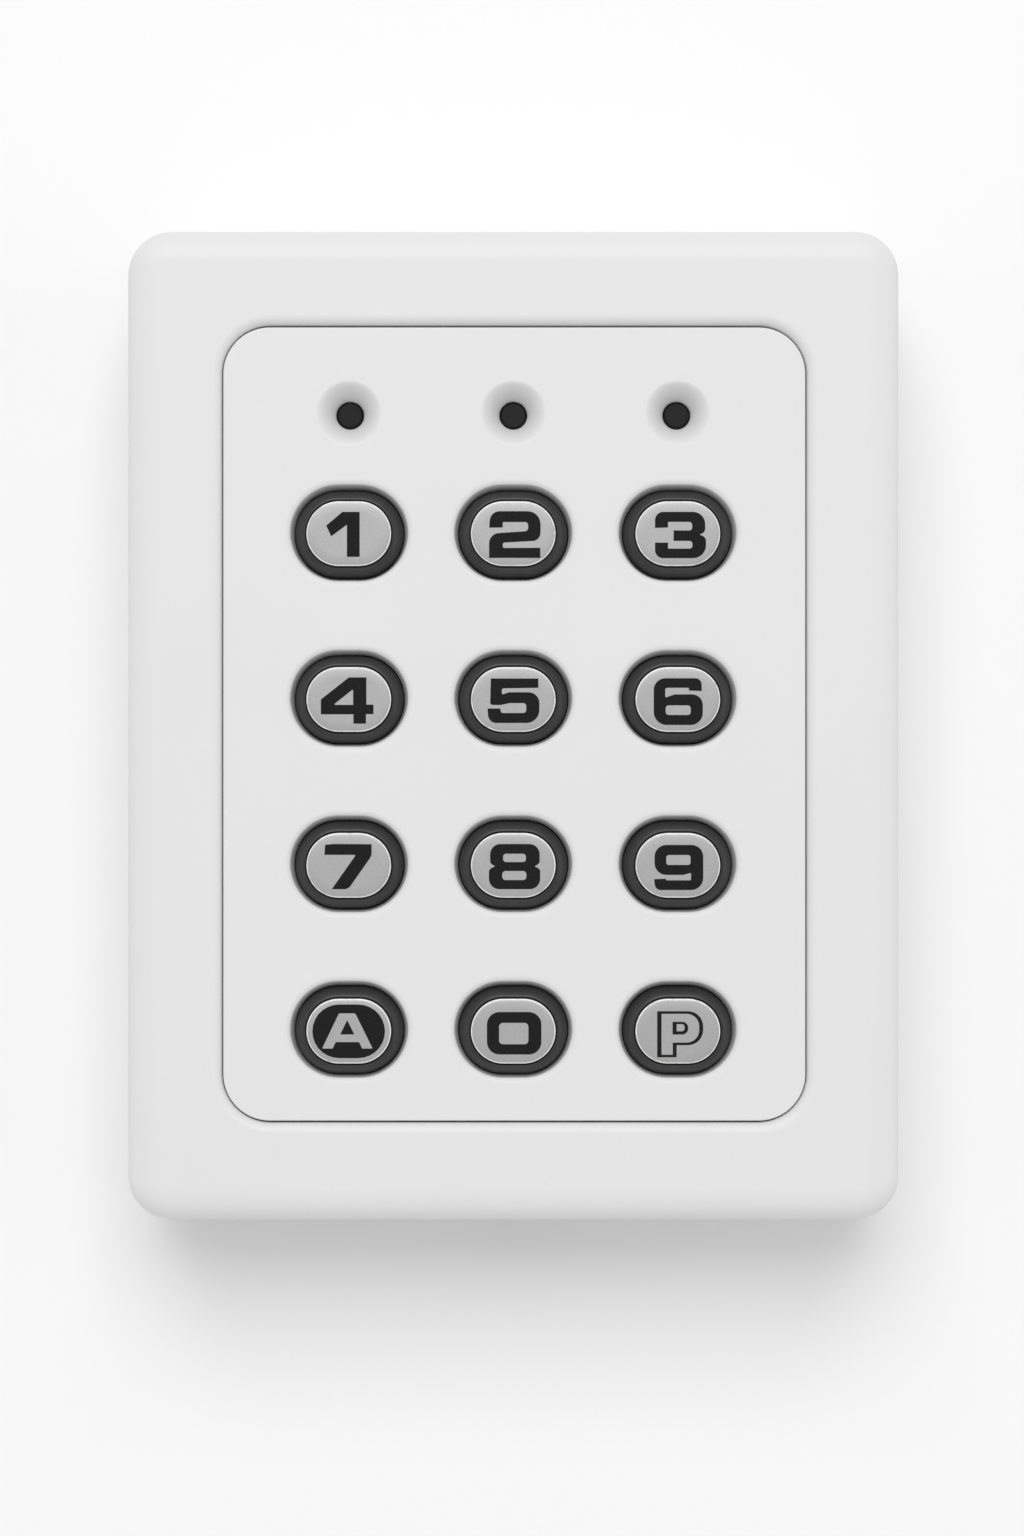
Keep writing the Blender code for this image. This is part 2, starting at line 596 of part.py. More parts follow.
def make_contact_mat(paint):
    """The silicone mat: one thin sheet with a hollow spring dome under each key."""
    width = 2 * KEY_PITCH_X + WELL_WIDTH + 2 * MAT_MARGIN
    height = KEYS_HEIGHT + WELL_HEIGHT + 2 * MAT_MARGIN
    centre = (0, TOP_ROW_Z - KEYS_HEIGHT / 2)
    depths = (MAT_FRONT_Y, MAT_BACK_Y)
    sheet = [rounded_outline(width, height, MAT_RADIUS, y, SMALL_CORNER_STEPS, centre) for y in depths]
    mat = lofted("contact_mat", [sheet], paint)
    domes = []
    hollows = []
    for _, place in key_places():
        domes.append(
            [
                circle(DOME_TOP_RADIUS, DOME_TOP_Y, place, SMALL_ROUND_STEPS),
                circle(DOME_BASE_RADIUS, MAT_FRONT_Y, place, SMALL_ROUND_STEPS),
                circle(DOME_BASE_RADIUS, MAT_FRONT_Y + GAP, place, SMALL_ROUND_STEPS),
            ]
        )
        hollows.append(
            [
                circle(DOME_TOP_RADIUS - DOME_WALL, DOME_TOP_Y + DOME_WALL, place, SMALL_ROUND_STEPS),
                circle(DOME_BASE_RADIUS - DOME_WALL, MAT_FRONT_Y, place, SMALL_ROUND_STEPS),
                circle(DOME_BASE_RADIUS - DOME_WALL, MAT_BACK_Y + GAP, place, SMALL_ROUND_STEPS),
            ]
        )
    combine(mat, lofted("mat_domes", domes), "UNION")
    combine(mat, lofted("mat_hollows", hollows), "DIFFERENCE")
    return mat


def make_circuit_board(paint):
    """The board behind the mat, with a clearance hole for each of its four screws."""
    width = INNER_WIDTH - 2 * BOARD_SIDE_GAP
    height = INNER_HEIGHT - 2 * BOARD_SIDE_GAP
    size = (width, height, BOARD_RADIUS)
    sheet = [rounded_outline(*size, y, SMALL_CORNER_STEPS) for y in (BOARD_FRONT_Y, BOARD_BACK_Y)]
    board = lofted("circuit_board", [sheet], paint)
    holes = [
        cylinder(SCREW_RADIUS + GAP, BOARD_FRONT_Y - GAP, BOARD_BACK_Y + GAP, place, SMALL_ROUND_STEPS)
        for place in boss_places()
    ]
    combine(board, lofted("board_screw_holes", holes), "DIFFERENCE")
    return board


def make_board_screw(name, place, paint):
    """A slotted screw through the board into a boss of the frame."""
    seat = BOARD_BACK_Y + GAP
    tip = BOARD_FRONT_Y - SCREW_REACH
    top = seat + SCREW_HEAD_HEIGHT
    profile = (
        (SCREW_RADIUS / 3, tip),
        (SCREW_RADIUS, tip + SCREW_RADIUS),
        (SCREW_RADIUS, seat),
        (SCREW_HEAD_RADIUS, seat),
        (SCREW_HEAD_RADIUS, top - SCREW_RADIUS / 2),
        (SCREW_HEAD_RADIUS - SCREW_RADIUS / 2, top),
    )
    rings = [circle(radius, y, place, SMALL_ROUND_STEPS) for radius, y in profile]
    screw = lofted(name, [rings], paint)
    length = 2 * (SCREW_HEAD_RADIUS + GAP)
    depths = (top - SCREW_SLOT_DEPTH, top + GAP)
    slot = block(length, SCREW_SLOT_WIDTH, *depths, place, SLOT_CORNER)
    combine(screw, lofted(f"{name}_slot", [slot]), "DIFFERENCE")
    return screw


def make_led(name, place, led_paint, spacer_paint):
    """A small round flat-topped light on a spacer that lifts it into its recess."""
    flange_y = LED_BASE_Y - LED_FLANGE_THICKNESS
    rings = [
        circle(LED_RADIUS - LED_EDGE_ROUND, LED_TIP_Y, place),
        circle(LED_RADIUS, LED_TIP_Y + LED_EDGE_ROUND, place),
        circle(LED_RADIUS, flange_y, place),
        circle(LED_FLANGE_RADIUS, flange_y, place),
        circle(LED_FLANGE_RADIUS, LED_BASE_Y, place),
    ]
    lofted(f"status_led_{name}", [rings], led_paint)
    depths = (LED_BASE_Y + GAP, BOARD_FRONT_Y - GAP)
    spacer = cylinder(LED_FLANGE_RADIUS, *depths, place, SMALL_ROUND_STEPS)
    lofted(f"led_spacer_{name}", [spacer], spacer_paint)


def make_tamper_switch(switch_paint, plunger_paint, spring_paint):
    """The cover tamper: a switch on the board whose sprung plunger rests on the rear case."""
    z = TAMPER_ABOVE_CENTRE
    front = BOARD_BACK_Y + GAP
    back = front + TAMPER_HOUSING_HEIGHT
    shell = block(TAMPER_HOUSING, TAMPER_HOUSING, front, back, (0, z))
    body = lofted("tamper_switch", [shell], switch_paint)
    bore_floor = front + GAP
    bore = cylinder(TAMPER_RADIUS + GAP, bore_floor, back + GAP, (0, z))
    combine(body, lofted("tamper_bore", [bore]), "DIFFERENCE")

    axis = bpy.data.objects.new("tamper_axis", None)
    axis.location = (0, REAR_INSIDE_Y, z)
    bpy.context.collection.objects.link(axis)
    tip = -GAP
    inner = bore_floor + GAP + TAMPER_TRAVEL - REAR_INSIDE_Y
    collar_back = tip - TAMPER_RADIUS
    collar_front = collar_back - TAMPER_COLLAR_THICKNESS
    profile = (
        (TAMPER_RADIUS, inner),
        (TAMPER_RADIUS, collar_front),
        (TAMPER_COLLAR_RADIUS, collar_front),
        (TAMPER_COLLAR_RADIUS, collar_back),
        (TAMPER_RADIUS, collar_back),
        (TAMPER_RADIUS, tip - TAMPER_RADIUS / 2),
        (TAMPER_RADIUS / 2, tip),
    )
    plunger = lofted("tamper_plunger", [[circle(radius, y) for radius, y in profile]], plunger_paint)
    plunger.parent = axis

    spring_front = back + GAP + SPRING_WIRE
    spring_back = REAR_INSIDE_Y + collar_front - GAP - SPRING_WIRE
    make_spring("tamper_spring", spring_front, spring_back, z, spring_paint)


def make_spring(name, front, back, z, paint):
    """A coil of wire along Y, round the plunger."""
    radius = TAMPER_RADIUS + GAP + SPRING_WIRE
    steps = SPRING_STEPS * SPRING_TURNS
    data = bpy.data.curves.new(name, "CURVE")
    data.dimensions = "3D"
    data.bevel_depth = SPRING_WIRE
    data.bevel_resolution = 1
    data.use_fill_caps = True
    line = data.splines.new("POLY")
    line.points.add(steps)
    for step, point in enumerate(line.points):
        turn = 2 * math.pi * SPRING_TURNS * step / steps
        y = front + (back - front) * step / steps
        point.co = (radius * math.cos(turn), y, z + radius * math.sin(turn), 1.0)
    made = bpy.data.objects.new(name, data)
    data.materials.append(paint)
    bpy.context.collection.objects.link(made)
    return made


def on_board(name, size, place, paint):
    """A plain rectangular component on the back of the board; its size is across, up and out."""
    front = BOARD_BACK_Y + GAP
    return lofted(name, [block(size[0], size[1], front, front + size[2], place)], paint)


def make_terminal_block(paint):
    """The row of wire entries, open downwards, above the cable opening."""
    front = BOARD_BACK_Y + GAP
    width = TERMINAL_WAYS * TERMINAL_PITCH + 2 * TERMINAL_END
    z = CABLE_ABOVE_CENTRE + CABLE_HEIGHT / 2 + TERMINAL_ABOVE_CABLE + TERMINAL_DEPTH / 2
    terminal = on_board("terminal_block", (width, TERMINAL_DEPTH, TERMINAL_HEIGHT), (TERMINAL_X, z), paint)
    entries = []
    for way in range(TERMINAL_WAYS):
        x = TERMINAL_X + (way - (TERMINAL_WAYS - 1) / 2) * TERMINAL_PITCH
        low = front + (TERMINAL_HEIGHT - TERMINAL_ENTRY[1]) / 2
        centre = (x, z - TERMINAL_DEPTH / 2)
        entries.append(
            block(TERMINAL_ENTRY[0], 2 * TERMINAL_ENTRY_DEPTH, low, low + TERMINAL_ENTRY[1], centre)
        )
    combine(terminal, lofted("terminal_wire_entries", entries), "DIFFERENCE")


def make_components(chip, can):
    """The larger components on the back of the board, beside the terminal block."""
    on_board("microcontroller", CHIP_SIZE, CHIP_PLACE, chip)
    on_board("voltage_regulator", REGULATOR_SIZE, REGULATOR_PLACE, chip)
    on_board("pin_header", HEADER_SIZE, HEADER_PLACE, chip)
    front = BOARD_BACK_Y + GAP
    lofted("buzzer", [cylinder(BUZZER_RADIUS, front, front + BUZZER_HEIGHT, BUZZER_PLACE)], chip)
    shoulder = CAPACITOR_RADIUS / 8
    profile = (
        (CAPACITOR_RADIUS, 0.0),
        (CAPACITOR_RADIUS, CAPACITOR_HEIGHT - shoulder),
        (CAPACITOR_RADIUS - shoulder, CAPACITOR_HEIGHT),
    )
    rings = [circle(radius, front + rise, CAPACITOR_PLACE) for radius, rise in profile]
    lofted("capacitor", [rings], can)


def main():
    clear_scene()
    white = material("white_abs", (0.80, 0.80, 0.79), 0.45)
    panel_white = material("white_abs_panel", (0.80, 0.80, 0.79), 0.5)
    grey = material("rear_abs", (0.78, 0.78, 0.77), 0.55)
    black = material("black_rubber", (0.02, 0.02, 0.02), 0.7)
    silver = material("silver_cap", (0.55, 0.55, 0.55), 0.35, 0.8)
    smoked = material("smoked_lens", (0.02, 0.02, 0.02), 0.2)
    silicone = material("grey_silicone", (0.45, 0.46, 0.47), 0.6)
    board = material("board_green", (0.03, 0.16, 0.07), 0.4)
    steel = material("zinc_steel", (0.60, 0.60, 0.58), 0.3, 1.0)
    chip = material("black_epoxy", (0.02, 0.02, 0.02), 0.5)
    green = material("terminal_green", (0.05, 0.25, 0.10), 0.5)
    aluminium = material("can_aluminium", (0.70, 0.70, 0.72), 0.3, 1.0)
    acetal = material("white_acetal", (0.75, 0.75, 0.72), 0.4)

    make_bezel_frame(white)
    make_rear_case(grey)
    make_key_panel(panel_white)
    for name, place in key_places():
        make_key(name, place, black, silver)
    make_contact_mat(silicone)
    make_circuit_board(board)
    for number, place in enumerate(boss_places(), start=1):
        make_board_screw(f"board_screw_{number}", place, steel)
    make_case_screw(steel)
    for name, place in led_places():
        make_led(name, place, smoked, chip)
    make_tamper_switch(chip, acetal, steel)
    make_terminal_block(green)
    make_components(chip, aluminium)


main()
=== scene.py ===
import json
import math

import bmesh
import bpy
from mathutils import Euler, Matrix, Vector

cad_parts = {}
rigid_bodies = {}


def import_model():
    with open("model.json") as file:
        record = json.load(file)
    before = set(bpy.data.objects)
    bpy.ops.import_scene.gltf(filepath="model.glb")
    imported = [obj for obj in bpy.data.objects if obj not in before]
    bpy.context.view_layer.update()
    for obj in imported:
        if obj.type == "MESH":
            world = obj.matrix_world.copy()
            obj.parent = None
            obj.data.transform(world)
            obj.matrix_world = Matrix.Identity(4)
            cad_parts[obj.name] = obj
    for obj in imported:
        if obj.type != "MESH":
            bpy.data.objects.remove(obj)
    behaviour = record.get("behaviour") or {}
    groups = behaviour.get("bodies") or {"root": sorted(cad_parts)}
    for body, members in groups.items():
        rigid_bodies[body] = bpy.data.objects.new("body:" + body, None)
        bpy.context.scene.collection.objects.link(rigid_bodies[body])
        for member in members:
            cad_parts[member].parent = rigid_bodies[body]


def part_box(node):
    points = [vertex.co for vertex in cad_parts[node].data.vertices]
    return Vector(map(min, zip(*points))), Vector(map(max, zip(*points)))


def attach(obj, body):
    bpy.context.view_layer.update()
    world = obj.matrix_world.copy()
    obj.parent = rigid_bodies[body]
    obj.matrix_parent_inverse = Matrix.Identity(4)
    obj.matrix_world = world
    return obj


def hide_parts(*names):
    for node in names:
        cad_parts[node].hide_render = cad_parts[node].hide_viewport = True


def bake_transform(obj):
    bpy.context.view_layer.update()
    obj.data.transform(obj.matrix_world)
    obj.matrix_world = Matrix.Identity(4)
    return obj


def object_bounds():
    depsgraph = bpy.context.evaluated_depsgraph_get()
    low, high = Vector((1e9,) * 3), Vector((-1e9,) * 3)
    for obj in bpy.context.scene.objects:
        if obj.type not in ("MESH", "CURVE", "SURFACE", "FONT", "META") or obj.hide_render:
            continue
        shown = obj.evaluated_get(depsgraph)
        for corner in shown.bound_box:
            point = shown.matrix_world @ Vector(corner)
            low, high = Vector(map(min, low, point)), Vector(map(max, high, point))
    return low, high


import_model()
cad_low, cad_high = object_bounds()
MM = 0.001


# ------------------------------------------------------------
# The wall that the keypad hangs on, painted plaster, and the light of a small studio: a bright room, a
# large soft box above and in front, two side panels, and a weak fill from below that is kept off the
# wall. The wall is open behind the keypad and clear from its far side, so that the back can be seen.

WALL_COLOUR = "#F6F6F6"
WALL_HALF_SIDE = 0.9
ROLLER_MARK = 3.85 * MM
WALL_CORNER = 5.1 * MM
WALL_CORNER_STEPS = 12
WALL_PLAY = 0.03 * MM
CORNER_STEPS = 20
ROOM_BRIGHTNESS = 0.57
# Name, size, place and power; each lamp faces the middle of the keypad.
LAMPS = (
    ("soft_box", (2.2, 2.2), (-0.1, -2.5, 1.7), 51.5),
    ("left_panel", (1.6, 1.6), (-2.2, -0.9, 0.0), 4.5),
    ("right_panel", (1.6, 1.6), (2.2, -0.9, 0.0), 6.5),
    ("fill", (2.0, 2.0), (0.0, -1.95, -2.3), 11.0),
)


def linear(code, share=1.0):
    """An sRGB hex colour, lightened or darkened by a share, as linear red, green, blue and alpha."""
    parts = [int(code[i : i + 2], 16) / 255 for i in (1, 3, 5)]
    parts = [c / 12.92 if c <= 0.04045 else ((c + 0.055) / 1.055) ** 2.4 for c in parts]
    return (*(c * share for c in parts), 1.0)


def add(tree, kind, inputs=None, **settings):
    """Adds a node with its settings; an input takes a value or another node's output."""
    made = tree.nodes.new(kind)
    for name, value in settings.items():
        setattr(made, name, value)
    for socket, value in (inputs or {}).items():
        if isinstance(value, bpy.types.NodeSocket):
            tree.links.new(value, made.inputs[socket])
        else:
            made.inputs[socket].default_value = value
    return made


def link_object(name, data):
    made = bpy.data.objects.new(name, data)
    bpy.context.scene.collection.objects.link(made)
    return made


def start_material(name, values):
    """A material with these values on its shader's own sockets, its tree, and its Object coordinates."""
    made = bpy.data.materials.new(name)
    made.use_nodes = True
    for socket, value in values.items():
        made.node_tree.nodes["Principled BSDF"].inputs[socket].default_value = value
    return made, made.node_tree, add(made.node_tree, "ShaderNodeTexCoord").outputs["Object"]


def lead(tree, pattern, tones=None, spread=None, gloss=None, relief=None):
    """Leads a pattern to the shader as two mixed tones, the mix spread over part of the pattern's
    range, as gloss between two values, and as a relief of (strength, depth)."""
    shader = tree.nodes["Principled BSDF"].inputs
    if relief:
        bump = add(tree, "ShaderNodeBump", {"Height": pattern, "Strength": relief[0], "Distance": relief[1]})
        tree.links.new(bump.outputs["Normal"], shader["Normal"])
    if gloss:
        level = add(tree, "ShaderNodeMapRange", {"Value": pattern, "To Min": gloss[0], "To Max": gloss[1]})
        tree.links.new(level.outputs["Result"], shader["Roughness"])
    if spread:
        ends = {"Value": pattern, "From Min": spread[0], "From Max": spread[1]}
        pattern = add(tree, "ShaderNodeMapRange", ends).outputs["Result"]
    if tones:
        shade = add(tree, "ShaderNodeMix", {0: pattern, 6: tones[0], 7: tones[1]}, data_type="RGBA")
        tree.links.new(shade.outputs[2], shader["Base Color"])


def mottled(name, values, size, detail=4.0, broken=0.5, **looks):
    """A material with a cloudy pattern of this size, or drawn out to three sizes along X, Y and Z."""
    made, tree, place = start_material(name, values)
    if isinstance(size, tuple):
        scale = [1 / length for length in size]
        place = add(tree, "ShaderNodeMapping", {"Vector": place, "Scale": scale}).outputs["Vector"]
        size = 1.0
    cloud = {"Vector": place, "Scale": 1 / size, "Detail": detail, "Roughness": broken}
    lead(tree, add(tree, "ShaderNodeTexNoise", cloud).outputs["Fac"], **looks)
    return made


def wall_paint():
    """Matt emulsion on plaster: no gloss, with a faint unevenness from the roller, clear from behind."""
    values = {"Base Color": linear(WALL_COLOUR), "Roughness": 0.95, "Specular IOR Level": 0.1}
    made = mottled("matt_wall_emulsion", values, ROLLER_MARK, 3.0, relief=(0.05, 0.3 * MM))
    tree = made.node_tree
    side = add(tree, "ShaderNodeNewGeometry").outputs["Backfacing"]
    paint = tree.nodes["Principled BSDF"].outputs["BSDF"]
    clear = add(tree, "ShaderNodeBsdfTransparent").outputs["BSDF"]
    one_way = add(tree, "ShaderNodeMixShader", {0: side, 1: paint, 2: clear})
    tree.links.new(one_way.outputs["Shader"], tree.nodes["Material Output"].inputs["Surface"])
    return made


def outline(width, height, radius, depth, centre=(0.0, 0.0), steps=CORNER_STEPS):
    """Points round a rounded rectangle in an upright plane, at a depth along Y."""
    radius = min(radius, width / 2, height / 2)
    points = []
    for corner, (side_x, side_z) in enumerate(((1, 1), (-1, 1), (-1, -1), (1, -1))):
        for step in range(steps + 1):
            angle = math.pi / 2 * (corner + step / steps)
            x = centre[0] + side_x * (width / 2 - radius) + radius * math.cos(angle)
            z = centre[1] + side_z * (height / 2 - radius) + radius * math.sin(angle)
            points.append((x, depth, z))
    return points


def skin(mesh, rings, closed=False, caps=False):
    """Faces between rings of equal count; returns the rows of vertices."""
    rows = [[mesh.verts.new(point) for point in points] for points in rings]
    pairs = list(zip(rows, rows[1:]))
    if closed:
        pairs.append((rows[-1], rows[0]))
    for near, far in pairs:
        for i in range(len(near)):
            j = (i + 1) % len(near)
            mesh.faces.new((near[i], near[j], far[j], far[i]))
    if caps:
        mesh.faces.new(rows[0])
        mesh.faces.new(rows[-1])
    return rows


# A square sheet level with the keypad's back, with an opening that follows its outline.
mesh = bmesh.new()
width, height = 2 * (cad_high.x + WALL_PLAY), 2 * (cad_high.z + WALL_PLAY)
near = outline(width, height, WALL_CORNER, cad_high.y, steps=WALL_CORNER_STEPS)
far = [(math.copysign(WALL_HALF_SIDE, x), y, math.copysign(WALL_HALF_SIDE, z)) for x, y, z in near]
skin(mesh, [far, near])
bmesh.ops.remove_doubles(mesh, verts=mesh.verts, dist=1e-6)
bmesh.ops.dissolve_degenerate(mesh, edges=mesh.edges, dist=1e-6)
for face in mesh.faces:
    face.normal_update()
    if face.normal.y > 0:
        face.normal_flip()
data = bpy.data.meshes.new("wall")
mesh.to_mesh(data)
mesh.free()
data.materials.append(wall_paint())
link_object("wall", data)

world = bpy.data.worlds.new("bright_room")
world.use_nodes = True
background = world.node_tree.nodes["Background"]
background.inputs["Color"].default_value = (1.0, 1.0, 1.0, 1.0)
background.inputs["Strength"].default_value = ROOM_BRIGHTNESS
bpy.context.scene.world = world

for name, size, place, power in LAMPS:
    data = bpy.data.lights.new(name, "AREA")
    data.shape = "RECTANGLE"
    data.size, data.size_y = size
    data.energy = power
    lamp = link_object(name, data)
    lamp.location = place
    lamp.rotation_euler = (-Vector(place)).to_track_quat("-Z", "Y").to_euler()
    lamp.visible_camera = False

# The camera looks straight at the wall, so that upright edges stay upright, with the keypad a little
# above the middle of the frame.
CAMERA_DISTANCE = 0.42
FRAME_HEIGHT_AT_FACE = 177.9 * MM
SENSOR = 36.0
CAMERA_RIGHT = -0.15 * MM
CAMERA_BELOW_CENTRE = 4.95 * MM
data = bpy.data.cameras.new("camera")
data.sensor_width = SENSOR
data.lens = SENSOR * CAMERA_DISTANCE / FRAME_HEIGHT_AT_FACE
data.clip_start = 0.01
camera = link_object("camera", data)
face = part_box("bezel_frame")[0].y
camera.location = (CAMERA_RIGHT, face - CAMERA_DISTANCE, -CAMERA_BELOW_CENTRE)
camera.rotation_euler = Euler((math.pi / 2, 0.0, 0.0))
bpy.context.scene.camera = camera
bpy.context.scene.view_settings.view_transform = "Standard"


# ------------------------------------------------------------
# The front frame: one injection moulding in white ABS, with a slight draft on its sides, a full round
# on its front edge and a small roll where it turns in to the key panel. The mould was spark eroded,
# which leaves a fine even grain.

ABS_WHITE = "#DCDCDC"
MOTTLE_SIZE = 26.3 * MM
GRAIN_SIZE = 0.22 * MM
CLEAR = 0.3 * MM
FRAME_CORNER = 5.1 * MM
FRAME_DRAFT = 0.2 * MM
FRAME_ROUND = 3.8 * MM
FRAME_ROUND_DEPTH = 2.6 * MM
FRAME_ROUND_STEPS = 14
FRAME_FACE_CORNER = 0.4 * MM
FRAME_PART_LINE = 0.35 * MM
WINDOW_ROLL = 1.2 * MM
WINDOW_ROLL_STEPS = 10
WINDOW_CORNER = 5.65 * MM
SIDE_WALL = 2.2 * MM
BOSS_RADIUS = 2.85 * MM
BOSS_FROM_SIDE = 0.6 * MM
BOSS_FROM_END = 14.6 * MM
PILOT_RADIUS = 1.0 * MM
PILOT_DEPTH = 5.0 * MM
HOOK_SPACING = 44.0 * MM
HOOK_POCKET = (8.6 * MM, 1.6 * MM, 2.0 * MM)
HOOK_POCKET_FROM_REAR = 4.8 * MM
HOOK_CORNER = 0.2 * MM
CASE_SCREW_FROM_BACK = 6.2 * MM
CASE_SCREW_HEAD_HOLE = 2.4 * MM
CASE_SCREW_HEAD_SINK = 1.5 * MM
CASE_SCREW_HOLE = 1.3 * MM
ROUND_STEPS = 48


def ring(radius, depth, centre=(0.0, 0.0), steps=ROUND_STEPS):
    """Points round a circle in an upright plane."""
    turns = [2 * math.pi * step / steps for step in range(steps)]
    return [(centre[0] + radius * math.cos(a), depth, centre[1] + radius * math.sin(a)) for a in turns]


def turned(profile, centre=(0.0, 0.0), steps=ROUND_STEPS):
    """Rings of a shape turned on an axis square to the wall, from (radius, depth) pairs."""
    return [ring(radius, depth, centre, steps) for radius, depth in profile]


def quarter(steps):
    """Round a quarter turn in even steps: one less the cosine, and one less the sine."""
    turns = [math.pi / 2 * step / steps for step in range(steps + 1)]
    return [(1 - math.cos(turn), 1 - math.sin(turn)) for turn in turns]


def grown(size, reach, depth, centre=(0.0, 0.0), steps=CORNER_STEPS):
    """The outline of a (width, height, corner radius), grown by a reach on every side."""
    width, height, radius = size
    return outline(width + 2 * reach, height + 2 * reach, radius + reach, depth, centre, steps)


def fill_between(mesh, rows):
    """One flat sheet of faces bounded by closed rows of vertices, the first of them outermost."""
    edges = []
    for row in rows:
        for i in range(len(row)):
            pair = (row[i], row[(i + 1) % len(row)])
            edges.append(mesh.edges.get(pair) or mesh.edges.new(pair))
    bmesh.ops.triangle_fill(mesh, edges=edges, use_beauty=True, normal=(0, -1, 0))


def solid(name, mesh):
    """An object from a mesh in place, merged and facing outwards."""
    bmesh.ops.remove_doubles(mesh, verts=mesh.verts, dist=1e-7)
    bmesh.ops.dissolve_degenerate(mesh, edges=mesh.edges, dist=1e-7)
    bmesh.ops.recalc_face_normals(mesh, faces=mesh.faces)
    data = bpy.data.meshes.new(name)
    mesh.to_mesh(data)
    mesh.free()
    return link_object(name, data)


def loft(name, rings):
    """A closed object skinned over rings."""
    mesh = bmesh.new()
    skin(mesh, rings, caps=True)
    return solid(name, mesh)


def plain_mesh(made):
    """The object's mesh as its modifiers leave it, with the modifiers removed."""
    shaped = made.evaluated_get(bpy.context.evaluated_depsgraph_get())
    data = bpy.data.meshes.new_from_object(shaped)
    data.name = made.name
    made.modifiers.clear()
    made.data = data


def carve(made, operation, shells):
    """Cuts closed shells, each a list of rings, out of the object, or joins them on."""
    mesh = bmesh.new()
    for rings in shells:
        skin(mesh, rings, caps=True)
    tool = solid("tool", mesh)
    change = made.modifiers.new("carve", "BOOLEAN")
    change.operation = operation
    change.solver = "EXACT"
    change.object = tool
    plain_mesh(made)
    bpy.data.objects.remove(tool)


def finish(made, material, sharp=35):
    """Smooth shading up to the sharp edges, and the piece's material."""
    made.data.shade_smooth()
    made.data.set_sharp_from_angle(angle=math.radians(sharp))
    made.data.materials.clear()
    made.data.materials.append(material)
    even = made.modifiers.new("even shading", "WEIGHTED_NORMAL")
    even.keep_sharp = True
    return made


def piece(name, mesh, material, sharp=35):
    return finish(solid(name, mesh), material, sharp)


def stand_for(made, node, body="housing"):
    """The piece takes a CAD node's place and rides on its body."""
    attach(made, body)
    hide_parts(node)


def moulded_abs(name, colour, grain_strength):
    """Injection moulded ABS: a satin skin with a fine spark-eroded grain and a faint mottle from handling."""
    values = {"IOR": 1.53, "Subsurface Weight": 0.08, "Subsurface Radius": (1.0, 1.0, 0.9),
              "Subsurface Scale": 0.6 * MM}
    tones = (linear(colour, 0.965), linear(colour))
    made = mottled(name, values, MOTTLE_SIZE, 4.0, 0.6, tones=tones, gloss=(0.44, 0.58))
    tree = made.node_tree
    place = add(tree, "ShaderNodeTexCoord").outputs["Object"]
    grain = add(tree, "ShaderNodeTexNoise", {"Vector": place, "Scale": 1 / GRAIN_SIZE, "Detail": 2.0})
    lead(tree, grain.outputs["Fac"], relief=(grain_strength, 0.02 * MM))
    return made


white_abs = moulded_abs("white_abs_spark_eroded", ABS_WHITE, 0.35)
frame_low, frame_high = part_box("bezel_frame")
panel_low, panel_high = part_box("key_panel")
housing_width = frame_high.x - frame_low.x
housing_height = frame_high.z - frame_low.z
frame_face = frame_low.y
frame_rear = frame_high.y
panel_centre = (0.0, (panel_low.z + panel_high.z) / 2)
LEDGE = 2.2 * MM
PANEL_SIDE_GAP = 0.11 * MM
PANEL_END_GAP = 0.2 * MM
WINDOW_WIDER = 0.46 * MM
WINDOW_TALLER = 0.12 * MM
WINDOW_SHIFT = (0.12 * MM, -0.15 * MM)
window_centre = (WINDOW_SHIFT[0], panel_centre[1] + WINDOW_SHIFT[1])
window_width = panel_high.x - panel_low.x - 2 * LEDGE + WINDOW_WIDER
window_height = panel_high.z - panel_low.z - 2 * LEDGE + WINDOW_TALLER
window = (window_width, window_height, WINDOW_CORNER)
FRONT_WALL = 2.4 * MM
board_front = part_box("circuit_board")[0].y
inner_width = housing_width - 2 * (FRAME_DRAFT + SIDE_WALL)
inner_height = housing_height - 2 * (FRAME_DRAFT + SIDE_WALL)
inner = (inner_width, inner_height, FRAME_CORNER - FRAME_DRAFT - SIDE_WALL)
boss_x = inner_width / 2 - BOSS_RADIUS - BOSS_FROM_SIDE
boss_z = inner_height / 2 - BOSS_FROM_END
boss_places = [(x, z) for x in (-boss_x, boss_x) for z in (-boss_z, boss_z)]


def upright_rings(profile, centre=(0.0, 0.0)):
    """Rings of a piece turned on an upright axis at this place across and deep, from (radius, z) pairs."""
    flat = [turned([(radius, z)], centre)[0] for radius, z in profile]
    return [[(x, y, z) for x, z, y in points] for points in flat]


mesh = bmesh.new()
part_line = (housing_width - FRAME_PART_LINE, housing_height - FRAME_PART_LINE, FRAME_CORNER)
rings = [
    outline(*part_line, frame_rear),
    outline(housing_width, housing_height, FRAME_CORNER, frame_rear - FRAME_PART_LINE),
]
for inset, drop in quarter(FRAME_ROUND_STEPS):
    corner = FRAME_CORNER - inset * (FRAME_CORNER - FRAME_FACE_CORNER)
    lost = 2 * (FRAME_DRAFT + FRAME_ROUND * inset)
    size = (housing_width - lost, housing_height - lost, corner)
    rings.append(outline(*size, frame_face + FRAME_ROUND_DEPTH * drop))
for drop, left in quarter(WINDOW_ROLL_STEPS):
    rings.append(grown(window, WINDOW_ROLL * left, frame_face + WINDOW_ROLL * drop, window_centre))
inside = frame_face + FRONT_WALL
rings.append(outline(*window, inside, window_centre))
outer_rows = skin(mesh, rings)
inner_rows = skin(mesh, [outline(*inner, inside), outline(*inner, frame_rear)])
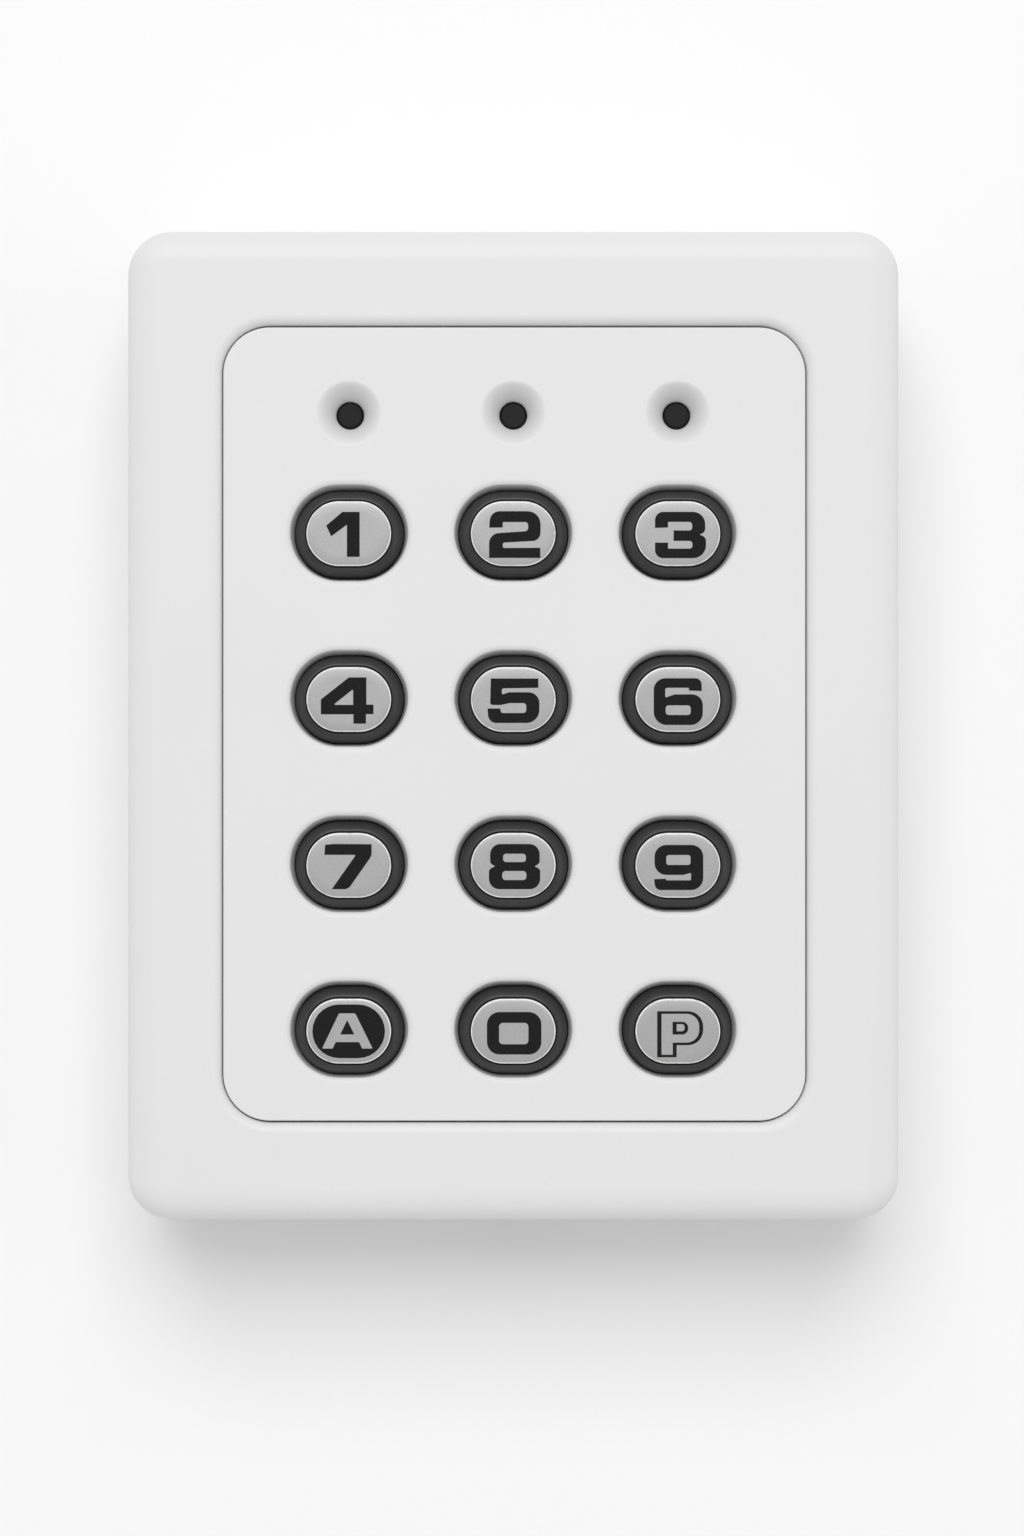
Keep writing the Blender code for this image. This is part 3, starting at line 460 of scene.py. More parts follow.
fill_between(mesh, [outer_rows[0], inner_rows[-1]])
flats = [inner_rows[0], outer_rows[-1]]
end = board_front - CLEAR
boss = ((BOSS_RADIUS, inside), (BOSS_RADIUS, end), (PILOT_RADIUS, end), (PILOT_RADIUS, end - PILOT_DEPTH))
for place in boss_places:
    rows = skin(mesh, turned(boss, place))
    mesh.faces.new(rows[-1])
    flats.append(rows[0])
fill_between(mesh, flats)
made = solid("front_frame", mesh)
width, height, depth = HOOK_POCKET
low = frame_rear - HOOK_POCKET_FROM_REAR
pockets = []
for x in (-HOOK_SPACING / 2, HOOK_SPACING / 2):
    middle = (x, inner_height / 2 + height / 2 - CLEAR)
    pockets.append([outline(width, height, HOOK_CORNER, y, middle, 3) for y in (low, low + depth)])
carve(made, "DIFFERENCE", pockets)
bottom = -housing_height / 2
sink = bottom + CASE_SCREW_HEAD_SINK
profile = (
    (CASE_SCREW_HEAD_HOLE, bottom - MM),
    (CASE_SCREW_HEAD_HOLE, sink),
    (CASE_SCREW_HOLE, sink),
    (CASE_SCREW_HOLE, -inner_height / 2 + MM),
)
carve(made, "DIFFERENCE", [upright_rings(profile, (0.0, -CASE_SCREW_FROM_BACK))])
stand_for(finish(made, white_abs), "bezel_frame")


# ------------------------------------------------------------
# The key panel: a second white moulding let into the frame with a hair gap round it. Twelve oval wells
# with rolled rims take the keys, and three round dishes take the lights.

PANEL_CORNER = 5.4 * MM
PANEL_EDGE = 0.2 * MM
PANEL_EDGE_STEPS = 4
PANEL_SET_BACK = 0.5 * MM
WELL_HANG = 0.12 * MM
WELL_ROLL = 1.05 * MM
WELL_ROLL_TURN = math.radians(42)
WELL_ROLL_STEPS = 8
WELL_CONE_PLAY = 0.52 * MM
WELL_THROAT_PLAY = 0.13 * MM
WELL_THROAT_DEPTH = 1.6 * MM
KEY_STEPS = 14
DISH_RADIUS = 3.8 * MM
DISH_DEPTH = 3.2 * MM
DISH_HOLE = 1.62 * MM
DISH_CURVE = 1.5
DISH_STEPS = 16
KEY_NAMES = "1 2 3 4 5 6 7 8 9 a 0 p".split()
FLANGE_REACH = 1.3 * MM
PANEL_THICKNESS = 3.8 * MM
POST_RADIUS = 2.0 * MM
POST_FROM_EDGE = 3.0 * MM

white_panel = moulded_abs("white_abs_panel", ABS_WHITE, 0.3)
panel_face = frame_face + PANEL_SET_BACK
panel_back = panel_face + PANEL_THICKNESS


def measured(node):
    """The CAD node's lowest and highest corners, and its middle across and up."""
    low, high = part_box(node)
    return low, high, ((low.x + high.x) / 2, (low.z + high.z) / 2)


key_middle = {key: measured(f"key_{key}_body")[2] for key in KEY_NAMES}
led_middle = {side: measured(f"status_led_{side}")[2] for side in ("left", "middle", "right")}
key_low, key_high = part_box("key_5_body")
key_size = (key_high.x - key_low.x - 2 * FLANGE_REACH, key_high.z - key_low.z - 2 * FLANGE_REACH)


def stadium(size, depth, centre, reach=0.0):
    """Points round an oval with straight sides, grown by a reach, with none twice where two ends meet."""
    width, height = size[0] + 2 * reach, size[1] + 2 * reach
    kept = []
    for point in outline(width, height, height / 2, depth, centre, KEY_STEPS):
        if not kept or (Vector(point) - Vector(kept[-1])).length > 1e-7:
            kept.append(point)
    if (Vector(kept[0]) - Vector(kept[-1])).length < 1e-7:
        kept.pop()
    return kept


def dish_profile():
    """Radius and depth down a bowl that steepens towards the light's hole."""
    profile = []
    for step in range(DISH_STEPS + 1):
        share = step / DISH_STEPS
        radius = DISH_RADIUS + (DISH_HOLE - DISH_RADIUS) * share
        profile.append((radius, panel_face + DISH_DEPTH * share**DISH_CURVE))
    return profile + [(DISH_HOLE, panel_back)]


mesh = bmesh.new()
width = window_width - 2 * PANEL_SIDE_GAP
height = window_height - 2 * PANEL_END_GAP
ledge_front = frame_face + FRONT_WALL + CLEAR
plate = (width, height, PANEL_CORNER)
rings = [
    grown(plate, -PANEL_EDGE * left, panel_face + PANEL_EDGE * drop, window_centre)
    for drop, left in quarter(PANEL_EDGE_STEPS)
]
ledge = (panel_high.x - panel_low.x, panel_high.z - panel_low.z, WINDOW_CORNER + LEDGE)
rings += [
    outline(*plate, ledge_front, window_centre),
    outline(*ledge, ledge_front, panel_centre),
    outline(*ledge, panel_back, panel_centre),
]
shells = [rings]
for x, z in key_middle.values():
    rings = []
    for step in range(WELL_ROLL_STEPS + 1):
        turn = WELL_ROLL_TURN * step / WELL_ROLL_STEPS
        reach = WELL_CONE_PLAY + WELL_ROLL * (math.sin(WELL_ROLL_TURN) - math.sin(turn))
        depth = panel_face + WELL_ROLL * (1 - math.cos(turn))
        rings.append(stadium(key_size, depth, (x, z + WELL_HANG), reach))
    for depth in (panel_face + WELL_THROAT_DEPTH, panel_back):
        rings.append(stadium(key_size, depth, (x, z), WELL_THROAT_PLAY))
    shells.append(rings)
shells += [turned(dish_profile(), centre) for centre in led_middle.values()]
front, back = [], []
for rings in shells:
    rows = skin(mesh, rings)
    front.append(rows[0])
    back.append(rows[-1])
for x in (-1, 1):
    for z in (-1, 1):
        corner = (x * (width / 2 - POST_FROM_EDGE), panel_centre[1] + z * (height / 2 - POST_FROM_EDGE))
        rows = skin(mesh, [ring(POST_RADIUS, depth, corner) for depth in (panel_back, panel_high.y)])
        mesh.faces.new(rows[-1])
        back.append(rows[0])
fill_between(mesh, front)
fill_between(mesh, back)
stand_for(piece("key_plate", mesh, white_panel), "key_panel")


# ------------------------------------------------------------
# The key bodies: black silicone mouldings whose face slopes away from the cap into the well. Silicone
# is matt, a little grey where light catches it, and holds a trace of dust.

SILICONE_BLACK = "#1F1F20"
KEY_PROUD = 0.9 * MM
CAP_STANDS_OUT = 0.35 * MM
CAP_SIZE = (9.8 * MM, 7.5 * MM)
CAP_SEAT_DEPTH = 0.9 * MM
STEM_SIZE = (6.0 * MM, 4.4 * MM)
DUST_SIZE = 1.11 * MM
CAP_SIDE_GAP = 0.2 * MM
RING_LAND = 0.15 * MM
RING_DROP = 2.2 * MM
RING_TILT = 0.5 * MM
RING_STEPS = 10
FLANGE_THICKNESS = 0.8 * MM


silicone = mottled(
    "black_silicone",
    {"Roughness": 0.43, "IOR": 1.5, "Sheen Weight": 0.05, "Sheen Roughness": 0.5},
    DUST_SIZE, 5.0, 0.7,
    tones=(linear(SILICONE_BLACK), linear(SILICONE_BLACK, 1.5)), spread=(0.45, 0.75), relief=(0.25, 0.03 * MM),
)
cap_face = panel_face - KEY_PROUD
ring_top = cap_face + CAP_STANDS_OUT


def key_body_profile():
    """Size, depth and growth of each ring: from the stem at the back, round the flange, up the side and
    over the sloping face to the cap's seat."""
    front = panel_back + CLEAR
    back = front + FLANGE_THICKNESS
    rings = [
        (STEM_SIZE, key_high.y, 0.0),
        (STEM_SIZE, back, 0.0),
        (key_size, back, FLANGE_REACH),
        (key_size, front, FLANGE_REACH),
        (key_size, front, 0.0),
    ]
    reach = (key_size[0] - CAP_SIZE[0]) / 2 - CAP_SIDE_GAP - RING_LAND
    for step in range(RING_STEPS + 1):
        away = 1 - step / RING_STEPS
        depth = ring_top + RING_TILT * away + (RING_DROP - RING_TILT) * away**3
        rings.append((key_size, depth, -reach * step / RING_STEPS))
    return rings + [(CAP_SIZE, ring_top + depth, CAP_SIDE_GAP) for depth in (0.0, CAP_SEAT_DEPTH)]


for key, centre in key_middle.items():
    rings = [stadium(size, depth, centre, reach) for size, depth, reach in key_body_profile()]
    made = finish(loft(f"key_{key}_rubber", rings), silicone, 50)
    stand_for(made, f"key_{key}_body", f"key_{key}")


# ------------------------------------------------------------
# The key caps: thin ABS buttons painted satin silver, with a soft crown round the edge. A near-white
# colour on the rounded edge, broken up by a noise, is a painted highlight all round each cap.

SILVER_PAINT = "#B1B1B1"
CAP_EDGE = 0.2 * MM
CAP_EDGE_STEPS = 4
CAP_CROWN_WIDTH = 1.1 * MM
CAP_CROWN_DROP = 0.05 * MM
CAP_CROWN_STEPS = 6
CAP_EDGE_HIGHLIGHT_PALE = "#F4F4F3"
CAP_EDGE_HIGHLIGHT_FACING = (-0.97, -0.15)
FLAKE_SIZE = 0.12 * MM
CAP_EDGE_HIGHLIGHT_SIZE = 0.91 * MM


def silver_paint():
    """Satin aluminium-flake paint: fine flakes that glint a little differently from one to the next."""
    made, tree, place = start_material("satin_silver_paint", {"Metallic": 0.55, "Roughness": 0.42})
    flake = add(tree, "ShaderNodeTexVoronoi", {"Vector": place, "Scale": 1 / FLAKE_SIZE}).outputs
    lead(tree, flake["Color"], tones=(linear(SILVER_PAINT, 0.86), linear(SILVER_PAINT)))
    lead(tree, flake["Distance"], relief=(0.15, 0.01 * MM))
    return made


silver = silver_paint()


# The cap edge colour: near-white mixed with the silver by a noise, a painted highlight round every cap edge.
painted_edge_highlight = mottled(
    "silver_paint_worn_edge", {"Roughness": 0.3}, CAP_EDGE_HIGHLIGHT_SIZE,
    tones=(linear(SILVER_PAINT), linear(CAP_EDGE_HIGHLIGHT_PALE)), spread=(0.2, 0.5),
)


profile = [
    (cap_face + CAP_CROWN_DROP + CAP_EDGE * drop, -CAP_EDGE * inset) for inset, drop in quarter(CAP_EDGE_STEPS)
]
for step in range(1, CAP_CROWN_STEPS + 1):
    share = step / CAP_CROWN_STEPS
    profile.append((cap_face + CAP_CROWN_DROP * (1 - share) ** 2, -CAP_EDGE - CAP_CROWN_WIDTH * share))
for key, centre in key_middle.items():
    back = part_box(f"key_{key}_cap")[1].y
    rings = [stadium(CAP_SIZE, depth, centre, reach) for depth, reach in [(back, 0.0), *profile]]
    made = finish(loft(f"key_{key}_button", rings), silver, 50)
    made.data.materials.append(painted_edge_highlight)
    # The faces of the rounded cap edge take the second material, the painted edge highlight.
    for face in made.data.polygons:
        if CAP_EDGE_HIGHLIGHT_FACING[0] < face.normal.y < CAP_EDGE_HIGHLIGHT_FACING[1]:
            face.material_index = 1
    stand_for(made, f"key_{key}_cap", f"key_{key}")


# ------------------------------------------------------------
# The legends: black ink pad-printed on the caps, in a wide heavy sans. Each is drawn in millimetres
# from the middle of its cap, as loops of corners: across,up,radius, or across,up for a sharp corner.

INK_BLACK = "#161616"
INK_THICKNESS = 0.02 * MM
PINHOLE_SIZE = 0.286 * MM
ALMOST_STRAIGHT = 1.5
LEGENDS = {
    "1": (
        "-0.72,2.5 1.27,2.5 1.27,-2.7 -0.2,-2.7 -0.2,1.02 -2.02,-0.32 -2.6,0.92",
    ),
    "2": (
        "-2.78,0.67 -2.66,2.58,1.15 3.15,2.58,1.5 3.15,-0.82,0.95 -1.22,-1.05,0.25 -1.22,-1.68,0.2 "
        "3.12,-1.65 3.12,-2.82 -2.8,-2.82 -2.8,-0.02,1.2 1.72,0.28,0.4 1.72,1.33,0.35 -1.22,1.33,0.15 "
        "-1.22,0.7",
    ),
    "3": (
        "-2.65,0.65 -2.65,2.5,0.95 3.15,2.5,1.4 3.15,0.15,0.6 2.5,-0.12,0.03 3.25,-0.45,0.6 "
        "3.25,-2.85,1.5 -2.65,-2.85,0.95 -2.65,-1.05 -1.15,-1.05 -1.15,-1.75,0.1 1.68,-1.75,0.35 "
        "1.68,-0.85,0.35 -0.5,-0.85 -0.5,0.35 1.65,0.35,0.35 1.65,1.35,0.35 -1.15,1.35,0.1 -1.15,0.7",
    ),
    "4": (
        "0.02,2.55 2.05,2.55 2.05,-0.6 2.87,-0.6 2.87,-1.7 2,-1.7 2,-2.8 0.55,-2.8 0.55,-1.72 "
        "-3.22,-1.72 -3.22,0",
        "0.52,1.2,0.08 0.52,-0.63 -1.78,-0.63,0.08",
    ),
    "5": (
        "-2.6,2.42 2.9,2.42 2.9,1.35 -1.32,1.28,0.2 -1.32,0.55,0.12 -0.5,0.83,0.8 3.02,0.83,1.25 "
        "3.02,-2.72,1.5 -2.85,-2.72,0.95 -2.98,-1.05 -1.5,-1.05 -1.45,-1.57,0.3 1.5,-1.57,0.35 "
        "1.5,-0.42,0.35 -0.4,-0.42,0.6 -1.5,-0.65,0.4 -2.68,-0.62,0.25",
    ),
    "6": (
        "2.75,0.98 2.72,2.45,0.7 -2.8,2.45,1.35 -2.8,-2.95,1.5 2.88,-2.95,1.4 2.88,0.6,1.25 "
        "-0.4,0.58,0.9 -1.47,0.2,0.12 -1.47,1.35,0.25 1.27,1.35,0.1 1.27,1.03",
        "-1.42,-0.68,0.35 1.48,-0.68,0.35 1.48,-1.8,0.35 -1.42,-1.8,0.35",
    ),
    "7": (
        "-2.72,2.38 -1.8,2.47 2.65,2.45 2.66,1.1,1.3 -0.05,-2.75,0.9 -1.95,-2.75 0.84,1.22,0.1 "
        "-2.8,1.22",
    ),
    "8": (
        "-2.68,2.47,1.2 3.05,2.47,1.2 3.05,0.22,0.5 2.45,-0.1,0.05 3.12,-0.45,0.5 3.1,-2.75,1.2 "
        "-2.82,-2.75,1.2 -2.82,-0.45,0.5 -2.08,-0.1,0.05 -2.68,0.22,0.5",
        "-1.18,1.35,0.35 1.46,1.35,0.35 1.46,0.38,0.35 -1.18,0.38,0.35",
        "-1.28,-0.65,0.4 1.52,-0.65,0.4 1.52,-1.7,0.4 -1.28,-1.7,0.4",
    ),
    "9": (
        "-2.7,2.36,1.35 2.93,2.36,1.35 2.93,-2.85,1.4 -2.6,-2.85,0.7 -2.76,-1.6 -1.42,-1.55 "
        "-1.36,-1.73,0.08 1.52,-1.73,0.15 1.52,-0.86,0.1 0.6,-1.1,0.9 -2.7,-1.1,1.35",
        "-1.35,1.2,0.3 1.46,1.2,0.3 1.46,0.05,0.3 -1.35,0.05,0.3",
    ),
    "0": (
        "-3.05,2.23,1.45 3.25,2.23,1.45 3.25,-2.68,1.45 -3.05,-2.68,1.45",
        "-1.65,0.98,0.45 1.75,0.98,0.45 1.75,-1.5,0.45 -1.65,-1.5,0.45",
    ),
    "a": (
        "-4.2,3.1,3.09 4.2,3.1,3.09 4.2,-3.1,3.09 -4.2,-3.1,3.09",
        "-1.12,2.08,0.1 0.76,2.08,0.25 2.78,-2,0.08 1.56,-2,0.08 1.2,-1.25,0.12 -1.5,-1.25,0.12 "
        "-1.86,-2,0.08 -3.08,-2,0.08",
        "-0.17,1.3 0.65,-0.36 -0.98,-0.36",
    ),
    "p": (
        "-2.4,2.32 2.92,2.32,1.75 2.92,-1.6,1.75 -0.15,-1.6 -0.15,-3 -2.4,-3",
        "-1.9,2.03 2.47,2.03,1.45 2.47,-1.31,1.45 -0.6,-1.31 -0.6,-2.72 -1.9,-2.72",
        "-0.62,1.1 1.18,1.1,0.68 1.18,-0.37,0.68 -0.62,-0.37",
        "-0.15,0.84 0.78,0.84,0.36 0.78,0,0.36 -0.15,0",
    ),
}


def rounded(loop, steps=7):
    """The loop through these corners with each turned on its own radius."""
    corners = [[float(part) for part in corner.split(",")] for corner in loop.split()]
    points = []
    for i, (x, y, *radius) in enumerate(corners):
        here = Vector((x, y))
        back = (Vector(corners[i - 1][:2]) - here).normalized()
        on = (Vector(corners[(i + 1) % len(corners)][:2]) - here).normalized()
        half = back.angle(on) / 2
        if not radius or half > ALMOST_STRAIGHT:
            points.append(here)
            continue
        middle = here + (back + on).normalized() * radius[0] / math.sin(half)
        start = here + back * radius[0] / math.tan(half) - middle
        sweep = start.angle_signed(here + on * radius[0] / math.tan(half) - middle)
        for step in range(steps + 1):
            turned_on = start.copy()
            turned_on.rotate(Matrix.Rotation(-sweep * step / steps, 2))
            points.append(middle + turned_on)
    return points


# Pad-print ink: a dense matt black film with pinholes and a slightly open texture.
ink = mottled(
    "black_pad_print_ink", {"Roughness": 0.6, "Specular IOR Level": 0.12}, PINHOLE_SIZE, 3.0, 0.7,
    tones=(linear(INK_BLACK), linear(INK_BLACK, 2.2)), spread=(0.5, 0.8),
)


for key, centre in key_middle.items():
    curve = bpy.data.curves.new(f"legend_{key}", "CURVE")
    curve.dimensions = "2D"
    curve.fill_mode = "BOTH"
    curve.extrude = INK_THICKNESS / 2
    for loop in LEGENDS[key]:
        points = rounded(loop)
        line = curve.splines.new("POLY")
        line.points.add(len(points) - 1)
        for point, place in zip(line.points, points):
            point.co = (place.x * MM, place.y * MM, 0.0, 1.0)
        line.use_cyclic_u = True
    drawn = link_object("drawing", curve)
    data = bpy.data.meshes.new_from_object(drawn.evaluated_get(bpy.context.evaluated_depsgraph_get()))
    bpy.data.objects.remove(drawn)
    data.name = f"key_{key}_legend"
    data.transform(Matrix.Rotation(math.pi / 2, 4, "X"))
    data.transform(Matrix.Translation((centre[0], cap_face - INK_THICKNESS / 4, centre[1])))
    data.materials.clear()
    data.materials.append(ink)
    made = link_object(f"key_{key}_legend", data)
    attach(made, f"key_{key}")


# ------------------------------------------------------------
# The status lights: flat-topped 3 mm round lights in smoked epoxy, dark while unlit, each on a black
# spacer that lifts it from the board to the foot of its dish.

SMOKED_EPOXY = "#131314"
LED_RADIUS = 1.52 * MM
LED_EDGE = 0.3 * MM
LED_FLANGE_RADIUS = 1.9 * MM
LED_FLANGE_THICKNESS = 1.0 * MM
HAZE_SIZE = 0.625 * MM


# Cast smoked epoxy: nearly black, with a faint haze of diffuser in it and a dulled skin.
lens = mottled(
    "smoked_epoxy_lens", {"Roughness": 0.45, "Specular IOR Level": 0.18, "IOR": 1.52}, HAZE_SIZE,
    tones=(linear(SMOKED_EPOXY), linear(SMOKED_EPOXY, 1.8)),
)


def lathe(name, profile, centre=(0.0, 0.0), steps=ROUND_STEPS):
    """A solid turned on an axis square to the wall, from (radius, depth) pairs."""
    return loft(name, turned(profile, centre, steps))


for side, centre in led_middle.items():
    low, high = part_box(f"status_led_{side}")
    flange = high.y - LED_FLANGE_THICKNESS
    profile = [(LED_FLANGE_RADIUS, high.y), (LED_FLANGE_RADIUS, flange), (LED_RADIUS, flange)]
    profile += [(LED_RADIUS - LED_EDGE * inset, low.y + LED_EDGE * drop) for inset, drop in quarter(4)]
    made = finish(lathe(f"light_{side}", profile, centre), lens, 50)
    stand_for(made, f"status_led_{side}")


# ------------------------------------------------------------
# The rear case: a flat ABS moulding that lies on the wall, with a lip inside the frame, two hooks at the
# top, a boss for the closing screw, two wall screw holes and an opening for the cable. Its back shows
# the marks of the mould's ejector pins and a shallow bed for a label.

REAR_WHITE = "#D9D9D8"
REAR_WALL = 2.2 * MM
REAR_EDGE = 0.35 * MM
REAR_HOLE_ROLL = 0.4 * MM
LIP_HEIGHT = 4.8 * MM
LIP_THICKNESS = 1.6 * MM
HOOK_WIDTH = 8.0 * MM
HOOK_DEPTH = 1.4 * MM
HOOK_REACH = 1.0 * MM
CASE_BOSS = (8.0 * MM, 8.2 * MM)
CASE_PILOT_REACH = 9.9 * MM
WALL_HOLE_RADIUS = 2.25 * MM
WALL_HOLE_SINK = 1.2 * MM
WALL_HOLE_Z = 42.45 * MM
CABLE_OPENING = (26.0 * MM, 16.0 * MM, 2.0 * MM)
CABLE_Z = 18.0 * MM
EJECTOR_RADIUS = 2.6 * MM
EJECTOR_DEPTH = 0.15 * MM
EJECTOR_PLACES = [(x * MM, z * MM) for x in (-32, 32) for z in (-40, 2, 40)]
LABEL_BED = (52.0 * MM, 22.0 * MM, 1.5 * MM)
LABEL_DEPTH = 0.25 * MM
LABEL_Z = -14.0 * MM

rear_abs = moulded_abs("white_abs_rear_case", REAR_WHITE, 0.6)


inside = -REAR_WALL
lip_top = inside - LIP_HEIGHT
size = (housing_width, housing_height, FRAME_CORNER)
rings = [grown(size, -REAR_EDGE * inset, -REAR_EDGE * depth) for depth, inset in quarter(4)]
rings += [
    outline(*size, inside + FRAME_PART_LINE),
    outline(size[0] - FRAME_PART_LINE, size[1] - FRAME_PART_LINE, size[2], inside),
    grown(inner, -CLEAR, inside),
    grown(inner, -CLEAR, lip_top),
    grown(inner, -CLEAR - LIP_THICKNESS, lip_top),
    grown(inner, -CLEAR - LIP_THICKNESS, inside),
]
made = loft("rear_case_moulding", rings)

lip_end = inner_height / 2 - CLEAR
hook = (HOOK_WIDTH, HOOK_REACH + LIP_THICKNESS, HOOK_CORNER)
joined = []
for x in (-HOOK_SPACING / 2, HOOK_SPACING / 2):
    place = (x, lip_end + HOOK_REACH - hook[1] / 2)
    joined.append([outline(*hook, y, place, 3) for y in (lip_top, lip_top + HOOK_DEPTH)])
boss_front = -CASE_SCREW_FROM_BACK - CASE_BOSS[0] / 2
boss_middle = (0.0, -lip_end + CASE_BOSS[1] / 2 + CLEAR)
joined.append([outline(*CASE_BOSS, MM, y, boss_middle, 5) for y in (boss_front, inside + CLEAR)])
carve(made, "UNION", joined)

opening = (0.0, CABLE_Z)
wide = [value + 2 * REAR_HOLE_ROLL for value in CABLE_OPENING]
cut = [
    [outline(*CABLE_OPENING, y, opening, 8) for y in (CLEAR, inside - CLEAR)],
    [
        outline(*wide, CLEAR, opening, 8),
        outline(*wide, 0.0, opening, 8),
        outline(*CABLE_OPENING, -REAR_HOLE_ROLL, opening, 8),
    ],
]
sunk = WALL_HOLE_RADIUS + WALL_HOLE_SINK
wall_hole = (
    (sunk, inside - CLEAR),
    (sunk, inside),
    (WALL_HOLE_RADIUS, inside + WALL_HOLE_SINK),
    (WALL_HOLE_RADIUS, -REAR_HOLE_ROLL),
    (WALL_HOLE_RADIUS + REAR_HOLE_ROLL, 0.0),
    (WALL_HOLE_RADIUS + REAR_HOLE_ROLL, CLEAR),
)
cut += [turned(wall_hole, (0.0, z)) for z in (-WALL_HOLE_Z, WALL_HOLE_Z)]
mark = ((EJECTOR_RADIUS, -EJECTOR_DEPTH), (EJECTOR_RADIUS, CLEAR))
cut += [turned(mark, place) for place in EJECTOR_PLACES]
cut.append([outline(*LABEL_BED, depth, (0.0, LABEL_Z), 6) for depth in (-LABEL_DEPTH, CLEAR)])
for shell in cut:
    carve(made, "DIFFERENCE", [shell])
low = -housing_height / 2
pilot = ((CASE_SCREW_HOLE, low), (CASE_SCREW_HOLE, low + CASE_PILOT_REACH))
carve(made, "DIFFERENCE", [upright_rings(pilot, (0.0, -CASE_SCREW_FROM_BACK))])
stand_for(finish(made, rear_abs), "rear_case")


# ------------------------------------------------------------
# The label: a plain silvered polyester sticker in the bed on the back, left blank. It is a thin satin
# film with a faint drawn line to it.

LABEL_EDGE = 0.4 * MM
LABEL_THICKNESS = 0.08 * MM
LABEL_SILVER = "#C6C7C9"
LABEL_IN_BED = 0.01 * MM
DRAWN_LINES = (11.1 * MM, 11.1 * MM, 0.238 * MM)


label_film = mottled(
    "metallised_polyester_film", {"Metallic": 0.7, "Roughness": 0.38}, DRAWN_LINES, 3.0,
    tones=(linear(LABEL_SILVER, 0.85), linear(LABEL_SILVER)),
)


def ridden(made, body="housing"):
    """A piece that no CAD node stands for, but that belongs to a body."""
    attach(made, body)


bed = -LABEL_DEPTH
width, height, corner = LABEL_BED
size = (width - 2 * LABEL_EDGE, height - 2 * LABEL_EDGE, corner)
depths = (bed - LABEL_IN_BED, bed + LABEL_THICKNESS)
made = loft("blank_label", [outline(*size, depth, (0.0, LABEL_Z), 6) for depth in depths])
ridden(finish(made, label_film))


# ------------------------------------------------------------
# The screws: four through the board into the frame's bosses, and one from below that closes the case.
# They are pan heads with a driver slot and a rolled thread, in steel under zinc: a bright metal with a
# slightly cloudy, uneven passivated skin.

ZINC_GREY = "#B7B8B5"
SCREW_RADIUS = 1.0 * MM
SCREW_HEAD_RADIUS = 2.1 * MM
SCREW_HEAD_HEIGHT = 1.3 * MM
SCREW_REACH = 3.6 * MM
CASE_SCREW_LENGTH = 8.0 * MM
SLOT = (0.55 * MM, 0.6 * MM)
THREAD_PITCH = 0.7 * MM
THREAD_WIRE = 0.16 * MM
THREAD_SHORT_OF_END = 1.2 * MM
SCREW_POINT = 0.3 * MM
SCREW_HEAD_ROUND = 0.5 * MM
CLOUD_SIZE = 0.9 * MM


zinc = mottled(
    "zinc_plated_steel", {"Metallic": 1.0}, CLOUD_SIZE,
    tones=(linear(ZINC_GREY, 0.75), linear(ZINC_GREY)), gloss=(0.22, 0.42),
)


def grow(name, tree, values):
    """The plain mesh that a node tree makes from these values, as an object."""
    made = link_object(name, bpy.data.meshes.new(name))
    change = made.modifiers.new("made by rule", "NODES")
    change.node_group = tree
    for item in tree.interface.items_tree:
        if item.in_out == "INPUT":
            change[item.identifier] = values[item.name]
    plain_mesh(made)
    return made


def new_tree(name, kinds):
    """A node tree that gives one mesh; returns it with the sockets of its named inputs."""
    tree = bpy.data.node_groups.new(name, "GeometryNodeTree")
    tree.interface.new_socket("Geometry", in_out="OUTPUT", socket_type="NodeSocketGeometry")
    for label, kind in kinds.items():
        tree.interface.new_socket(label, in_out="INPUT", socket_type="NodeSocket" + kind)
    return tree, tree.nodes.new("NodeGroupInput").outputs


def end_tree(tree, geometry, material):
    whole = add(tree, "GeometryNodeRealizeInstances", {"Geometry": geometry})
    painted = add(tree, "GeometryNodeSetMaterial", {"Geometry": whole.outputs[0], "Material": material})
    add(tree, "NodeGroupOutput", {"Geometry": painted.outputs["Geometry"]})
    return tree


def coil_tree():
    """A wire wound round the upright axis: a spring, or the ridge of a screw's thread."""
    kinds = {"Turns": "Float", "Radius": "Float", "Length": "Float", "Wire Radius": "Float",
             "Steps": "Int", "Material": "Material"}
    tree, given = new_tree("wound_wire", kinds)
    sizes = {"Resolution": given["Steps"], "Rotations": given["Turns"], "Start Radius": given["Radius"],
             "End Radius": given["Radius"], "Height": given["Length"]}
    path = add(tree, "GeometryNodeCurveSpiral", sizes).outputs["Curve"]
    round_wire = {"Resolution": 8, "Radius": given["Wire Radius"]}
    wire = add(tree, "GeometryNodeCurvePrimitiveCircle", round_wire).outputs["Curve"]
    swept = {"Curve": path, "Profile Curve": wire, "Fill Caps": True}
    wound = add(tree, "GeometryNodeCurveToMesh", swept)
    return end_tree(tree, wound.outputs["Mesh"], given["Material"])


WOUND_WIRE = coil_tree()


def coil(name, turns, radius, length, wire, material, steps=24):
    values = {"Turns": turns, "Radius": radius, "Length": length, "Wire Radius": wire, "Steps": steps,
              "Material": material}
    return grow(name, WOUND_WIRE, values)


def take_in(made, others):
    """Joins the other objects' meshes into this one."""
    mesh = bmesh.new()
    mesh.from_mesh(made.data)
    for other in others:
        mesh.from_mesh(other.data)
        bpy.data.objects.remove(other)
    mesh.to_mesh(made.data)
    mesh.free()


